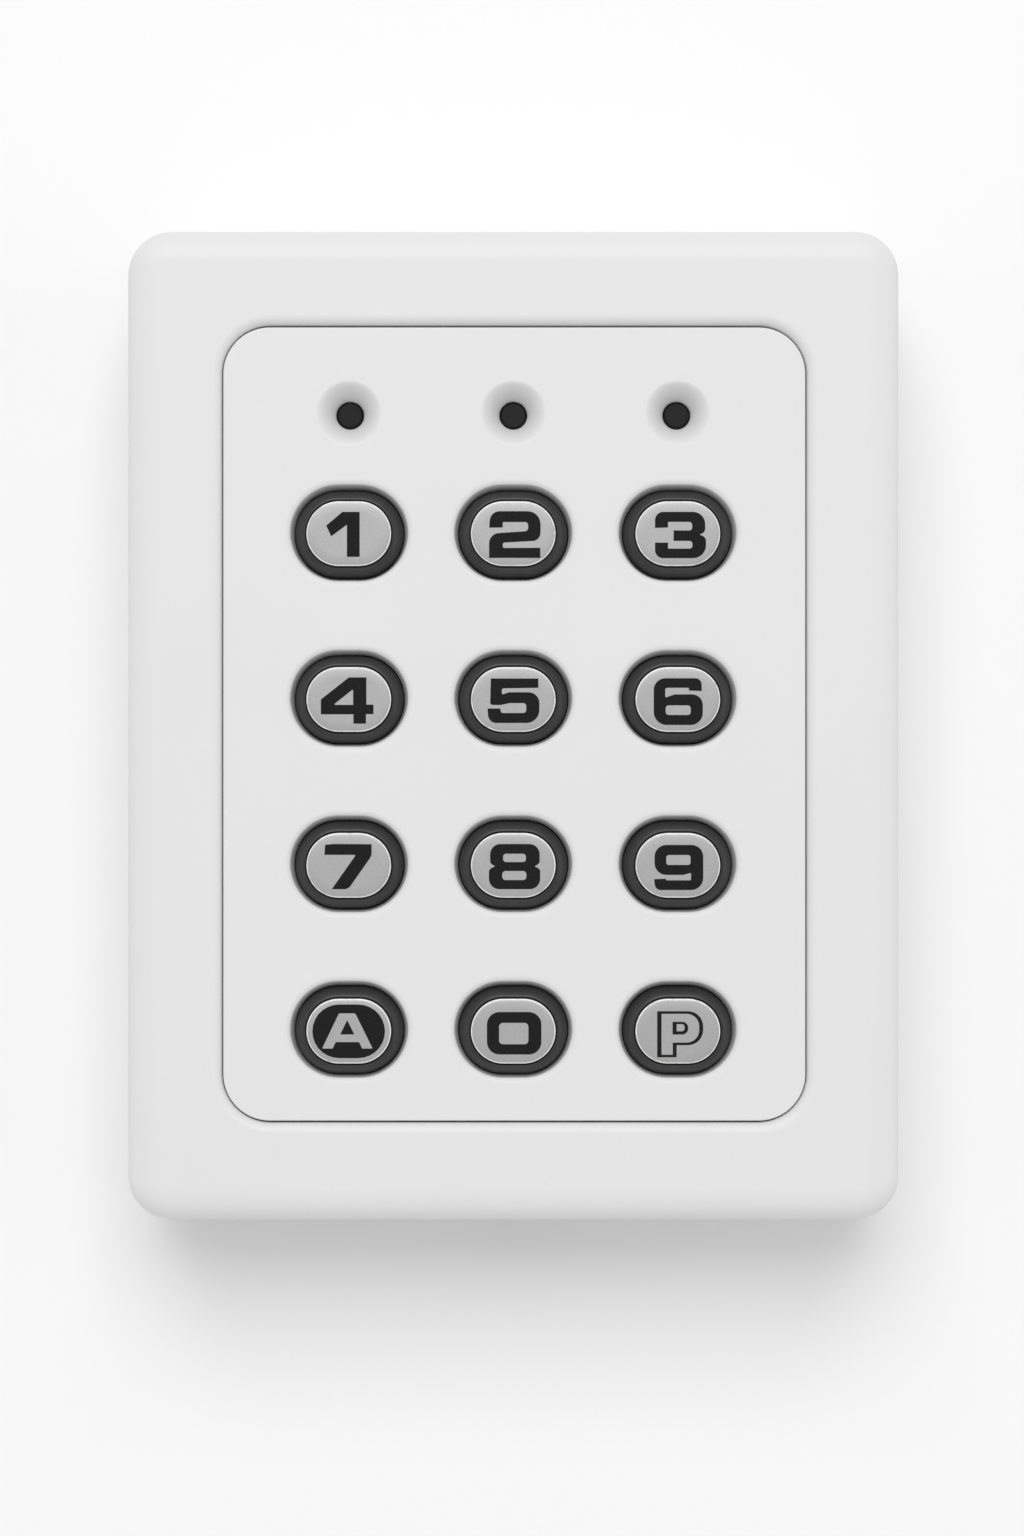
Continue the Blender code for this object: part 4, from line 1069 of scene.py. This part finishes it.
def screw(name, length, matrix):
    """A slotted pan head screw, its head's underside at the origin and its thread along -Z, then placed."""
    head = SCREW_HEAD_RADIUS
    profile = [(SCREW_POINT, -length), (SCREW_RADIUS, -length + MM), (SCREW_RADIUS, 0.0), (head, 0.0)]
    for inset, drop in quarter(6):
        profile.append((head - SCREW_HEAD_ROUND * inset, SCREW_HEAD_HEIGHT - SCREW_HEAD_ROUND * drop))
    made = loft(name, upright_rings(profile))
    x, y = 1.5 * head, SLOT[0] / 2
    bottom, top = SCREW_HEAD_HEIGHT - SLOT[1], SCREW_HEAD_HEIGHT + MM
    carve(made, "DIFFERENCE", [[[(-x, -y, z), (x, -y, z), (x, y, z), (-x, y, z)] for z in (bottom, top)]])
    thread = length - THREAD_SHORT_OF_END
    ridge = coil("ridge", thread / THREAD_PITCH, SCREW_RADIUS, thread, THREAD_WIRE, zinc, 20)
    ridge.data.transform(Matrix.Translation((0.0, 0.0, -length + MM)))
    take_in(made, [ridge])
    made.data.transform(matrix)
    return finish(made, zinc, 40)


board_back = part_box("circuit_board")[1].y
for number in range(1, 5):
    x, z = measured(f"board_screw_{number}")[2]
    under_head = board_back + CLEAR
    turn = Matrix.Rotation(math.radians(25 + 40 * number), 4, "Z")
    place = Matrix.Translation((x, under_head, z)) @ Matrix.Rotation(-math.pi / 2, 4, "X") @ turn
    made = screw(f"board_screw_{number}_turned", under_head - board_front + SCREW_REACH, place)
    stand_for(made, f"board_screw_{number}")
place = Matrix.Translation((0.0, -CASE_SCREW_FROM_BACK, -housing_height / 2 + CASE_SCREW_HEAD_SINK))
place = place @ Matrix.Rotation(math.pi, 4, "X") @ Matrix.Rotation(math.radians(35), 4, "Z")
stand_for(screw("case_screw_turned", CASE_SCREW_LENGTH, place), "case_screw")


# ------------------------------------------------------------
# The circuit board: glass-fibre laminate under a green solder mask, with the copper tracks showing as
# slightly raised lighter lines, plated holes for the four screws, and rows of tinned joints.

MASK_GREEN = "#1F5A34"
TRACK_GREEN = "#2F7A48"
SOLDER_GREY = "#BFC0BE"
BOARD_CORNER = 2.8 * MM
BOARD_HOLE = 1.3 * MM
BOARD_GAP = 0.5 * MM
TRACK_PITCH = 1.27 * MM
TRACK_HALF_WIDTH = 0.4 * MM
TRACK_PATCH = (9.0 * MM, 6.0 * MM)
FROST_SIZE = 0.3 * MM
LAND_RADIUS = 2.4 * MM
LAND_THICKNESS = 0.05 * MM
JOINT_PITCH = 2.54 * MM
JOINT_HEIGHT = 0.6 * MM


def solder_mask():
    """Solder mask over copper: glossy lacquer with square-run tracks that stand a little proud of it.
    Tracks are drawn wider than real ones so that they show."""
    made, tree, place = start_material("green_solder_mask", {"Roughness": 0.28, "IOR": 1.55})
    scale = (1 / TRACK_PATCH[0], 0.0, 1 / TRACK_PATCH[1])
    cells = add(tree, "ShaderNodeMapping", {"Vector": place, "Scale": scale}).outputs["Vector"]
    patch = add(tree, "ShaderNodeTexVoronoi", {"Vector": cells, "Scale": 1.0}, distance="CHEBYCHEV")
    parts = add(tree, "ShaderNodeSeparateXYZ", {"Vector": place}).outputs
    across = add(tree, "ShaderNodeMath", {0: parts["X"], 1: TRACK_PITCH}, operation="PINGPONG").outputs[0]
    along = add(tree, "ShaderNodeMath", {0: parts["Z"], 1: TRACK_PITCH}, operation="PINGPONG").outputs[0]
    which = add(tree, "ShaderNodeSeparateColor", {"Color": patch.outputs["Color"]}).outputs[0]
    turn = add(tree, "ShaderNodeMath", {0: which, 1: 0.5}, operation="GREATER_THAN").outputs[0]
    run = add(tree, "ShaderNodeMix", {0: turn, 2: across, 3: along}).outputs[0]
    track = add(tree, "ShaderNodeMath", {0: run, 1: TRACK_HALF_WIDTH}, operation="LESS_THAN").outputs[0]
    lead(tree, track, tones=(linear(MASK_GREEN), linear(TRACK_GREEN)), relief=(0.5, 0.04 * MM))
    return made


def copies_tree():
    """Copies of one shape set out in columns and rows: pins, leads, joints and screws."""
    kinds = {"Shape": "Object", "First Place": "Vector", "Columns": "Int", "Column Step": "Vector",
             "Rows": "Int", "Row Step": "Vector", "Material": "Material"}
    tree, given = new_tree("set_out_in_rows", kinds)
    row = {"Count": given["Rows"], "Start Location": given["First Place"], "Offset": given["Row Step"]}
    rows = add(tree, "GeometryNodeMeshLine", row).outputs["Mesh"]
    column = {"Count": given["Columns"], "Offset": given["Column Step"]}
    columns = add(tree, "GeometryNodeMeshLine", column).outputs["Mesh"]
    net = add(tree, "GeometryNodeInstanceOnPoints", {"Points": rows, "Instance": columns}).outputs[0]
    net = add(tree, "GeometryNodeRealizeInstances", {"Geometry": net}).outputs[0]
    shape = add(tree, "GeometryNodeObjectInfo", {"Object": given["Shape"]}).outputs["Geometry"]
    spread = add(tree, "GeometryNodeInstanceOnPoints", {"Points": net, "Instance": shape}).outputs[0]
    return end_tree(tree, spread, given["Material"])


IN_ROWS = copies_tree()


def in_rows(name, shape, material, first, columns, step, rows=1, row_step=(0.0, 0.0, 0.0)):
    values = {"Shape": shape, "First Place": first, "Columns": columns, "Column Step": step, "Rows": rows,
              "Row Step": row_step, "Material": material}
    made = grow(name, IN_ROWS, values)
    bpy.data.objects.remove(shape)
    return finish(made, material, 40)


def block(name, width, height, depths, centre=(0.0, 0.0), corner=0.2 * MM, edge=0.15 * MM):
    """A moulded block with rounded corners, its edge broken at the last of its two depths."""
    inner = (width - 2 * edge, height - 2 * edge, corner)
    near = depths[1] - math.copysign(edge, depths[1] - depths[0])
    rings = [outline(width, height, corner, depth, centre, 4) for depth in (depths[0], near)]
    return loft(name, rings + [outline(*inner, depths[1], centre, 4)])


def joint_shape(height):
    """One soldered joint: a small fillet of solder round a wire's end, rising towards +Y."""
    profile = [(0.75 * MM, 0.0), (0.5 * MM, 0.35 * height), (0.3 * MM, height), (0.12 * MM, height)]
    return lathe("joint", profile, steps=12)


mask_green = solder_mask()
# Tin-lead solder: bright metal with a slightly frosted skin.
solder = mottled(
    "tinned_solder", {"Base Color": linear(SOLDER_GREY), "Metallic": 1.0}, FROST_SIZE, 3.0, gloss=(0.18, 0.45)
)


mesh = bmesh.new()
size = (inner_width - 2 * BOARD_GAP, inner_height - 2 * BOARD_GAP, BOARD_CORNER)
faces = (board_front, board_back)
shells = [[outline(*size, depth) for depth in faces]]
shells += [[ring(BOARD_HOLE, depth, place) for depth in faces] for place in boss_places]
for row in zip(*[skin(mesh, rings) for rings in shells]):
    fill_between(mesh, row)
stand_for(piece("board_laminate", mesh, mask_green), "circuit_board")

profile = [(LAND_RADIUS, 0.0), (LAND_RADIUS, LAND_THICKNESS), (BOARD_HOLE, LAND_THICKNESS), (BOARD_HOLE, 0.0)]
mesh = bmesh.new()
skin(mesh, turned(profile), closed=True)
shape = solid("land", mesh)
first = (-boss_x, board_back, -boss_z)
steps = ((2 * boss_x, 0.0, 0.0), 2, (0.0, 0.0, 2 * boss_z))
ridden(in_rows("board_screw_lands", shape, solder, first, 2, *steps))

first = (-8.0 * MM, board_back, 9.0 * MM)
rows = ((JOINT_PITCH, 0.0, 0.0), 2, (0.0, 0.0, JOINT_PITCH))
made = in_rows("board_solder_joints", joint_shape(JOINT_HEIGHT), solder, first, 7, *rows)
ridden(made)


# ------------------------------------------------------------
# The contact mat: a thin grey silicone sheet, with a hollow spring dome and a black carbon pill under
# each key. A dome buckles as its key goes in, so it moves with the key at its top only.

MAT_GREY = "#B4B7BA"
CARBON_BLACK = "#1A1A1A"
MAT_CORNER = 2.0 * MM
DOME_BASE = 4.2 * MM
DOME_TOP = 3.0 * MM
DOME_WALL = 0.8 * MM
DOME_HEIGHT = 2.0 * MM
PILL_RADIUS = 1.6 * MM
PILL_THICKNESS = 0.3 * MM
DOME_SHOULDER = 0.3 * MM
FROSTED_SIZE = 1.5 * MM


def mat_silicone(name, colour, roughness):
    """Moulded silicone: matt, slightly cloudy, with a fine frosted skin."""
    values = {"Roughness": roughness, "IOR": 1.43}
    tones = (linear(colour, 0.8), linear(colour))
    return mottled(name, values, FROSTED_SIZE, tones=tones, relief=(0.15, 0.05 * MM))


grey_silicone = mat_silicone("grey_mat_silicone", MAT_GREY, 0.6)
carbon = mat_silicone("black_carbon_silicone", CARBON_BLACK, 0.75)


def middle_of(centre, depth):
    return (centre[0], depth, centre[1])


low, high, middle = measured("contact_mat")
back = board_front - CLEAR
front = back - DOME_WALL
domes = {key: (x, z + WELL_HANG) for key, (x, z) in key_middle.items()}
mesh = bmesh.new()
faces = (front, back)
shells = [[outline(high.x - low.x, high.z - low.z, MAT_CORNER, y, middle, 6) for y in faces]]
shells += [[ring(DOME_BASE, depth, centre) for depth in faces] for centre in domes.values()]
for row in zip(*[skin(mesh, rings) for rings in shells]):
    fill_between(mesh, row)
stand_for(piece("contact_sheet", mesh, grey_silicone), "contact_mat")

top = front - DOME_HEIGHT
floor = top + DOME_WALL
shoulder = (DOME_TOP + DOME_SHOULDER, top + DOME_SHOULDER)
outside = [(DOME_BASE, back), (DOME_BASE, front), shoulder, (DOME_TOP, top)]
inside = [(DOME_BASE - DOME_WALL, back), (DOME_BASE - DOME_WALL, front), (DOME_TOP - DOME_WALL, floor)]
for key, centre in domes.items():
    mesh = bmesh.new()
    rows, inner_rows = [skin(mesh, turned(profile, centre)) for profile in (outside, inside)]
    mesh.faces.new(rows[-1])
    mesh.faces.new(inner_rows[-1])
    foot = list(zip(rows[0], inner_rows[0]))
    for (near, far), (near_on, far_on) in zip(foot, foot[1:] + foot[:1]):
        mesh.faces.new((near, near_on, far_on, far))
    made = piece(f"dome_{key}", mesh, grey_silicone)
    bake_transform(made)
    pill = [(PILL_RADIUS, floor), (PILL_RADIUS, floor + PILL_THICKNESS)]
    made = finish(lathe(f"carbon_pill_{key}", pill, centre, 24), carbon)
    ridden(made, f"key_{key}")


# ------------------------------------------------------------
# The parts on the board: a black spacer under each light, the processor with its leads, the voltage
# regulator, the programming pins, the sounder and the can capacitor.

EPOXY_BLACK = "#1D1D1F"
PIN_GOLD = "#D8B65A"
CAN_SILVER = "#C9CACC"
LEAD_SIZE = (0.35 * MM, 0.9 * MM, 0.15 * MM)
LEAD_PITCH = 0.8 * MM
LEAD_STEP = (0.35 * MM, 0.6 * MM, 0.75 * MM)
FILLER_SIZE = 0.15 * MM
DRAWN_METAL = (0.4 * MM, 8.33 * MM, 0.4 * MM)
CHIP_STANDS_OFF = 0.1 * MM
CHIP_BODY = 8.4 * MM
PIN_PITCH = 2.54 * MM


def bright_metal(name, colour, roughness):
    """Drawn or plated metal: bright, with faint lengthwise variation in its gloss."""
    values = {"Base Color": linear(colour), "Metallic": 1.0}
    return mottled(name, values, DRAWN_METAL, 3.0, gloss=(roughness - 0.08, roughness + 0.12))


# Black epoxy moulding compound: matt, faintly speckled with its mineral filler.
compound = mottled(
    "black_moulding_compound", {"Roughness": 0.55}, FILLER_SIZE, 3.0,
    tones=(linear(EPOXY_BLACK), linear(EPOXY_BLACK, 1.7)), relief=(0.3, 0.02 * MM),
)
gold = bright_metal("gold_flashed_pin", PIN_GOLD, 0.25)
aluminium = bright_metal("drawn_aluminium_can", CAN_SILVER, 0.3)
on_back = board_back + CLEAR


def leads(name, across, count, reach, centre):
    """Gull-wing leads along two sides of a chip, its left and right if across, or its top and bottom."""
    width, length, thick = LEAD_SIZE
    shoulder, knee, height = LEAD_STEP
    path = [(0.0, height), (shoulder, height), (knee, thick), (length + 0.2 * MM, thick)]
    section = [(-width / 2, -thick), (width / 2, -thick), (width / 2, 0.0), (-width / 2, 0.0)]
    run = (count - 1) / 2 * LEAD_PITCH
    step = (0.0, 0.0, LEAD_PITCH) if across else (LEAD_PITCH, 0.0, 0.0)
    first = (centre[0], on_back, centre[1] - run) if across else (centre[0] - run, on_back, centre[1])
    made = []
    for side in (-1, 1):
        rings = [[(along, rise + up, side * (reach + out)) for along, up in section] for out, rise in path]
        if across:
            rings = [[(z, y, x) for x, y, z in points] for points in rings]
        made.append(in_rows("leads", loft("lead", rings), solder, first, count, step))
    take_in(made[0], made[1:])
    made[0].name = made[0].data.name = name
    return made[0]


for side, centre in led_middle.items():
    low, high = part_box(f"led_spacer_{side}")
    profile = [(1.6 * MM, low.y), (1.9 * MM, low.y + 0.2 * MM), (1.9 * MM, high.y)]
    made = finish(lathe(f"light_spacer_{side}", profile, centre), compound)
    stand_for(made, f"led_spacer_{side}")

low, high, centre = measured("microcontroller")
depths = (on_back + CHIP_STANDS_OFF, high.y)
body = block("processor", CHIP_BODY, CHIP_BODY, depths, centre, 0.3 * MM, 0.25 * MM)
dot = (centre[0] - 3.1 * MM, centre[1] + 3.1 * MM)
carve(body, "DIFFERENCE", [[ring(0.5 * MM, y, dot, 24) for y in (high.y - 0.1 * MM, high.y + CLEAR)]])
stand_for(finish(body, compound), "microcontroller")
for name, across in (("processor_side_leads", True), ("processor_end_leads", False)):
    ridden(leads(name, across, 9, CHIP_BODY / 2 - CLEAR, centre))

low, high, centre = measured("voltage_regulator")
depths = (on_back + CHIP_STANDS_OFF, high.y)
body = block("regulator", high.x - low.x, high.z - low.z, depths, centre, 0.25 * MM, 0.3 * MM)
stand_for(finish(body, compound), "voltage_regulator")
reach = (high.z - low.z) / 2 - 0.2 * MM
ridden(leads("regulator_leads", False, 3, reach, centre))

low, high, centre = measured("pin_header")
base = (on_back, on_back + 2.5 * MM)
body = block("header_base", high.x - low.x, high.z - low.z, base, centre, 0.3 * MM, 0.25 * MM)
stand_for(finish(body, compound), "pin_header")
pin = block("pin", 0.64 * MM, 0.64 * MM, (0.0, high.y - on_back), corner=0.05 * MM, edge=0.18 * MM)
first = (centre[0] - PIN_PITCH, on_back, centre[1] - PIN_PITCH / 2)
rows = ((PIN_PITCH, 0.0, 0.0), 2, (0.0, 0.0, PIN_PITCH))
ridden(in_rows("header_pins", pin, gold, first, 3, *rows))

low, high, centre = measured("buzzer")
radius, top = (high.x - low.x) / 2, high.y
edge, vent = 0.4 * MM, 1.3 * MM
profile = [(radius, on_back), (radius, top - edge), (radius - edge, top), (vent, top), (vent, top - 0.8 * MM)]
stand_for(finish(lathe("sounder", profile, centre), compound), "buzzer")

low, high, centre = measured("capacitor")
radius = (high.x - low.x) / 2
top = high.y
crimp = on_back + 1.4 * MM
profile = [(radius, on_back), (radius, crimp - 0.4 * MM), (radius - 0.25 * MM, crimp)]
profile += [(radius, crimp + 0.4 * MM), (radius, top - 0.3 * MM), (radius - 0.3 * MM, top)]
profile += [(radius - 0.8 * MM, top), (radius - 0.85 * MM, top - 0.1 * MM)]
made = lathe("can", profile, centre)
length, width = radius - MM, 0.2 * MM
for angle in (0.0, 60.0, 120.0):
    turn = Matrix.Rotation(math.radians(angle), 4, "Y")
    corners = [(-length, -width / 2), (length, -width / 2), (length, width / 2), (-length, width / 2)]
    groove = []
    for depth in (top - 0.25 * MM, top + CLEAR):
        points = [turn @ Vector((x, 0.0, z)) for x, z in corners]
        groove.append([(centre[0] + p.x, depth, centre[1] + p.z) for p in points])
    carve(made, "DIFFERENCE", [groove])
stand_for(finish(made, aluminium), "capacitor")


# ------------------------------------------------------------
# The terminal block: a green polyamide moulding with eight wire entries that open downwards, towards
# the cable opening, and a clamp screw for each in a round well.

TERMINAL_GREEN = "#2E7D4A"
TERMINAL_WAYS = 8
TERMINAL_PITCH = 3.3 * MM
ENTRY = (2.4 * MM, 3.5 * MM, 1.5 * MM)
CLAMP_WELL = (1.3 * MM, 1.2 * MM)
FIBRE_SIZE = (2.5 * MM, 0.667 * MM, 0.667 * MM)


# Glass-filled polyamide: satin green with a faint fibrous mottle.
green_polyamide = mottled(
    "green_polyamide", {"Roughness": 0.42, "IOR": 1.53}, FIBRE_SIZE,
    tones=(linear(TERMINAL_GREEN, 0.8), linear(TERMINAL_GREEN)),
)


low, high, centre = measured("terminal_block")
top = high.y
made = block("terminal_moulding", high.x - low.x, high.z - low.z, (low.y, top), centre, 0.3 * MM, 0.3 * MM)
middle_y = (low.y + top) / 2
first_x = centre[0] - (TERMINAL_WAYS - 1) / 2 * TERMINAL_PITCH
cuts = []
for way in range(TERMINAL_WAYS):
    x = first_x + way * TERMINAL_PITCH
    width, height, depth = ENTRY
    y0, y1 = middle_y - height / 2, middle_y + height / 2
    x0, x1 = x - width / 2, x + width / 2
    square = [(x0, y0), (x1, y0), (x1, y1), (x0, y1)]
    cuts.append([[(px, py, z) for px, py in square] for z in (low.z - MM, low.z + depth)])
    radius, sink = CLAMP_WELL
    cuts.append([ring(radius, y, (x, centre[1]), 24) for y in (top - sink, top + MM)])
carve(made, "DIFFERENCE", cuts)
stand_for(finish(made, green_polyamide), "terminal_block")

radius = CLAMP_WELL[0] - 0.15 * MM
profile = [(radius, 0.0), (radius, 0.65 * MM), (radius - 0.15 * MM, 0.8 * MM)]
shape = lathe("clamp_screw", profile, steps=24)
x, z = 2 * radius, 0.18 * MM
slot = [[(-x, y, -z), (x, y, -z), (x, y, z), (-x, y, z)] for y in (0.4 * MM, MM)]
carve(shape, "DIFFERENCE", [slot])
first = (first_x, top - CLAMP_WELL[1], centre[1])
step = (TERMINAL_PITCH, 0.0, 0.0)
ridden(in_rows("terminal_clamp_screws", shape, zinc, first, TERMINAL_WAYS, step))

cage = block("clamp", ENTRY[0] - 0.2 * MM, 0.3 * MM, (-ENTRY[1] / 2 + 0.1 * MM, ENTRY[1] / 2 - 0.1 * MM))
first = (first_x, middle_y, low.z + ENTRY[2] - 0.2 * MM)
ridden(in_rows("terminal_wire_clamps", cage, solder, first, TERMINAL_WAYS, step))


# ------------------------------------------------------------
# The tamper switch: a black switch on the back of the board whose white acetal plunger is pushed
# against the rear case by a small spring, so that opening the case lets it out.

ACETAL_WHITE = "#E2E1DC"
TAMPER_RADIUS = 1.4 * MM
TAMPER_COLLAR = (2.6 * MM, 0.8 * MM)
TAMPER_BORE = 1.7 * MM
TAMPER_ROUND = 0.8 * MM
TAMPER_SWITCH = (6.6 * MM, 3.6 * MM)
SPRING_WIRE = 0.2 * MM
SPRING_TURNS = 4.0


centre = measured("tamper_switch")[2]
width, height = TAMPER_SWITCH
switch_back = on_back + height
made = block("tamper_switch_body", width, width, (on_back, switch_back), centre, 0.4 * MM, 0.3 * MM)
bore = [ring(TAMPER_BORE, y, centre, 32) for y in (on_back + CLEAR, switch_back + MM)]
carve(made, "DIFFERENCE", [bore])
stand_for(finish(made, compound), "tamper_switch")

low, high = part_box("tamper_plunger")
collar, thick = TAMPER_COLLAR
collar_back = high.y - TAMPER_RADIUS
collar_front = collar_back - thick
profile = [(TAMPER_RADIUS, low.y), (TAMPER_RADIUS, collar_front), (collar, collar_front)]
profile += [(collar, collar_back), (TAMPER_RADIUS, collar_back)]
profile += [(TAMPER_RADIUS - TAMPER_ROUND * inset, high.y - TAMPER_ROUND * drop) for inset, drop in quarter(6)]
acetal = mat_silicone("white_acetal", ACETAL_WHITE, 0.35)
made = finish(lathe("tamper_pin", profile, centre), acetal)
stand_for(made, "tamper_plunger", "tamper")

front = switch_back + CLEAR + SPRING_WIRE
length = collar_front - CLEAR - SPRING_WIRE - front
made = coil("tamper_coil", SPRING_TURNS, TAMPER_RADIUS + CLEAR + SPRING_WIRE, length, SPRING_WIRE, zinc, 32)
made.data.transform(Matrix.Translation(middle_of(centre, front)) @ Matrix.Rotation(-math.pi / 2, 4, "X"))
finish(made, zinc, 60)
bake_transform(made)
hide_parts("tamper_spring")


# ------------------------------------------------------------
# The fill light falls on the keypad alone.
lit = bpy.data.collections.new("keypad")
for made in bpy.context.scene.objects:
    if made.type == "MESH" and made.name != "wall":
        lit.objects.link(made)
bpy.context.scene.objects["fill"].light_linking.receiver_collection = lit
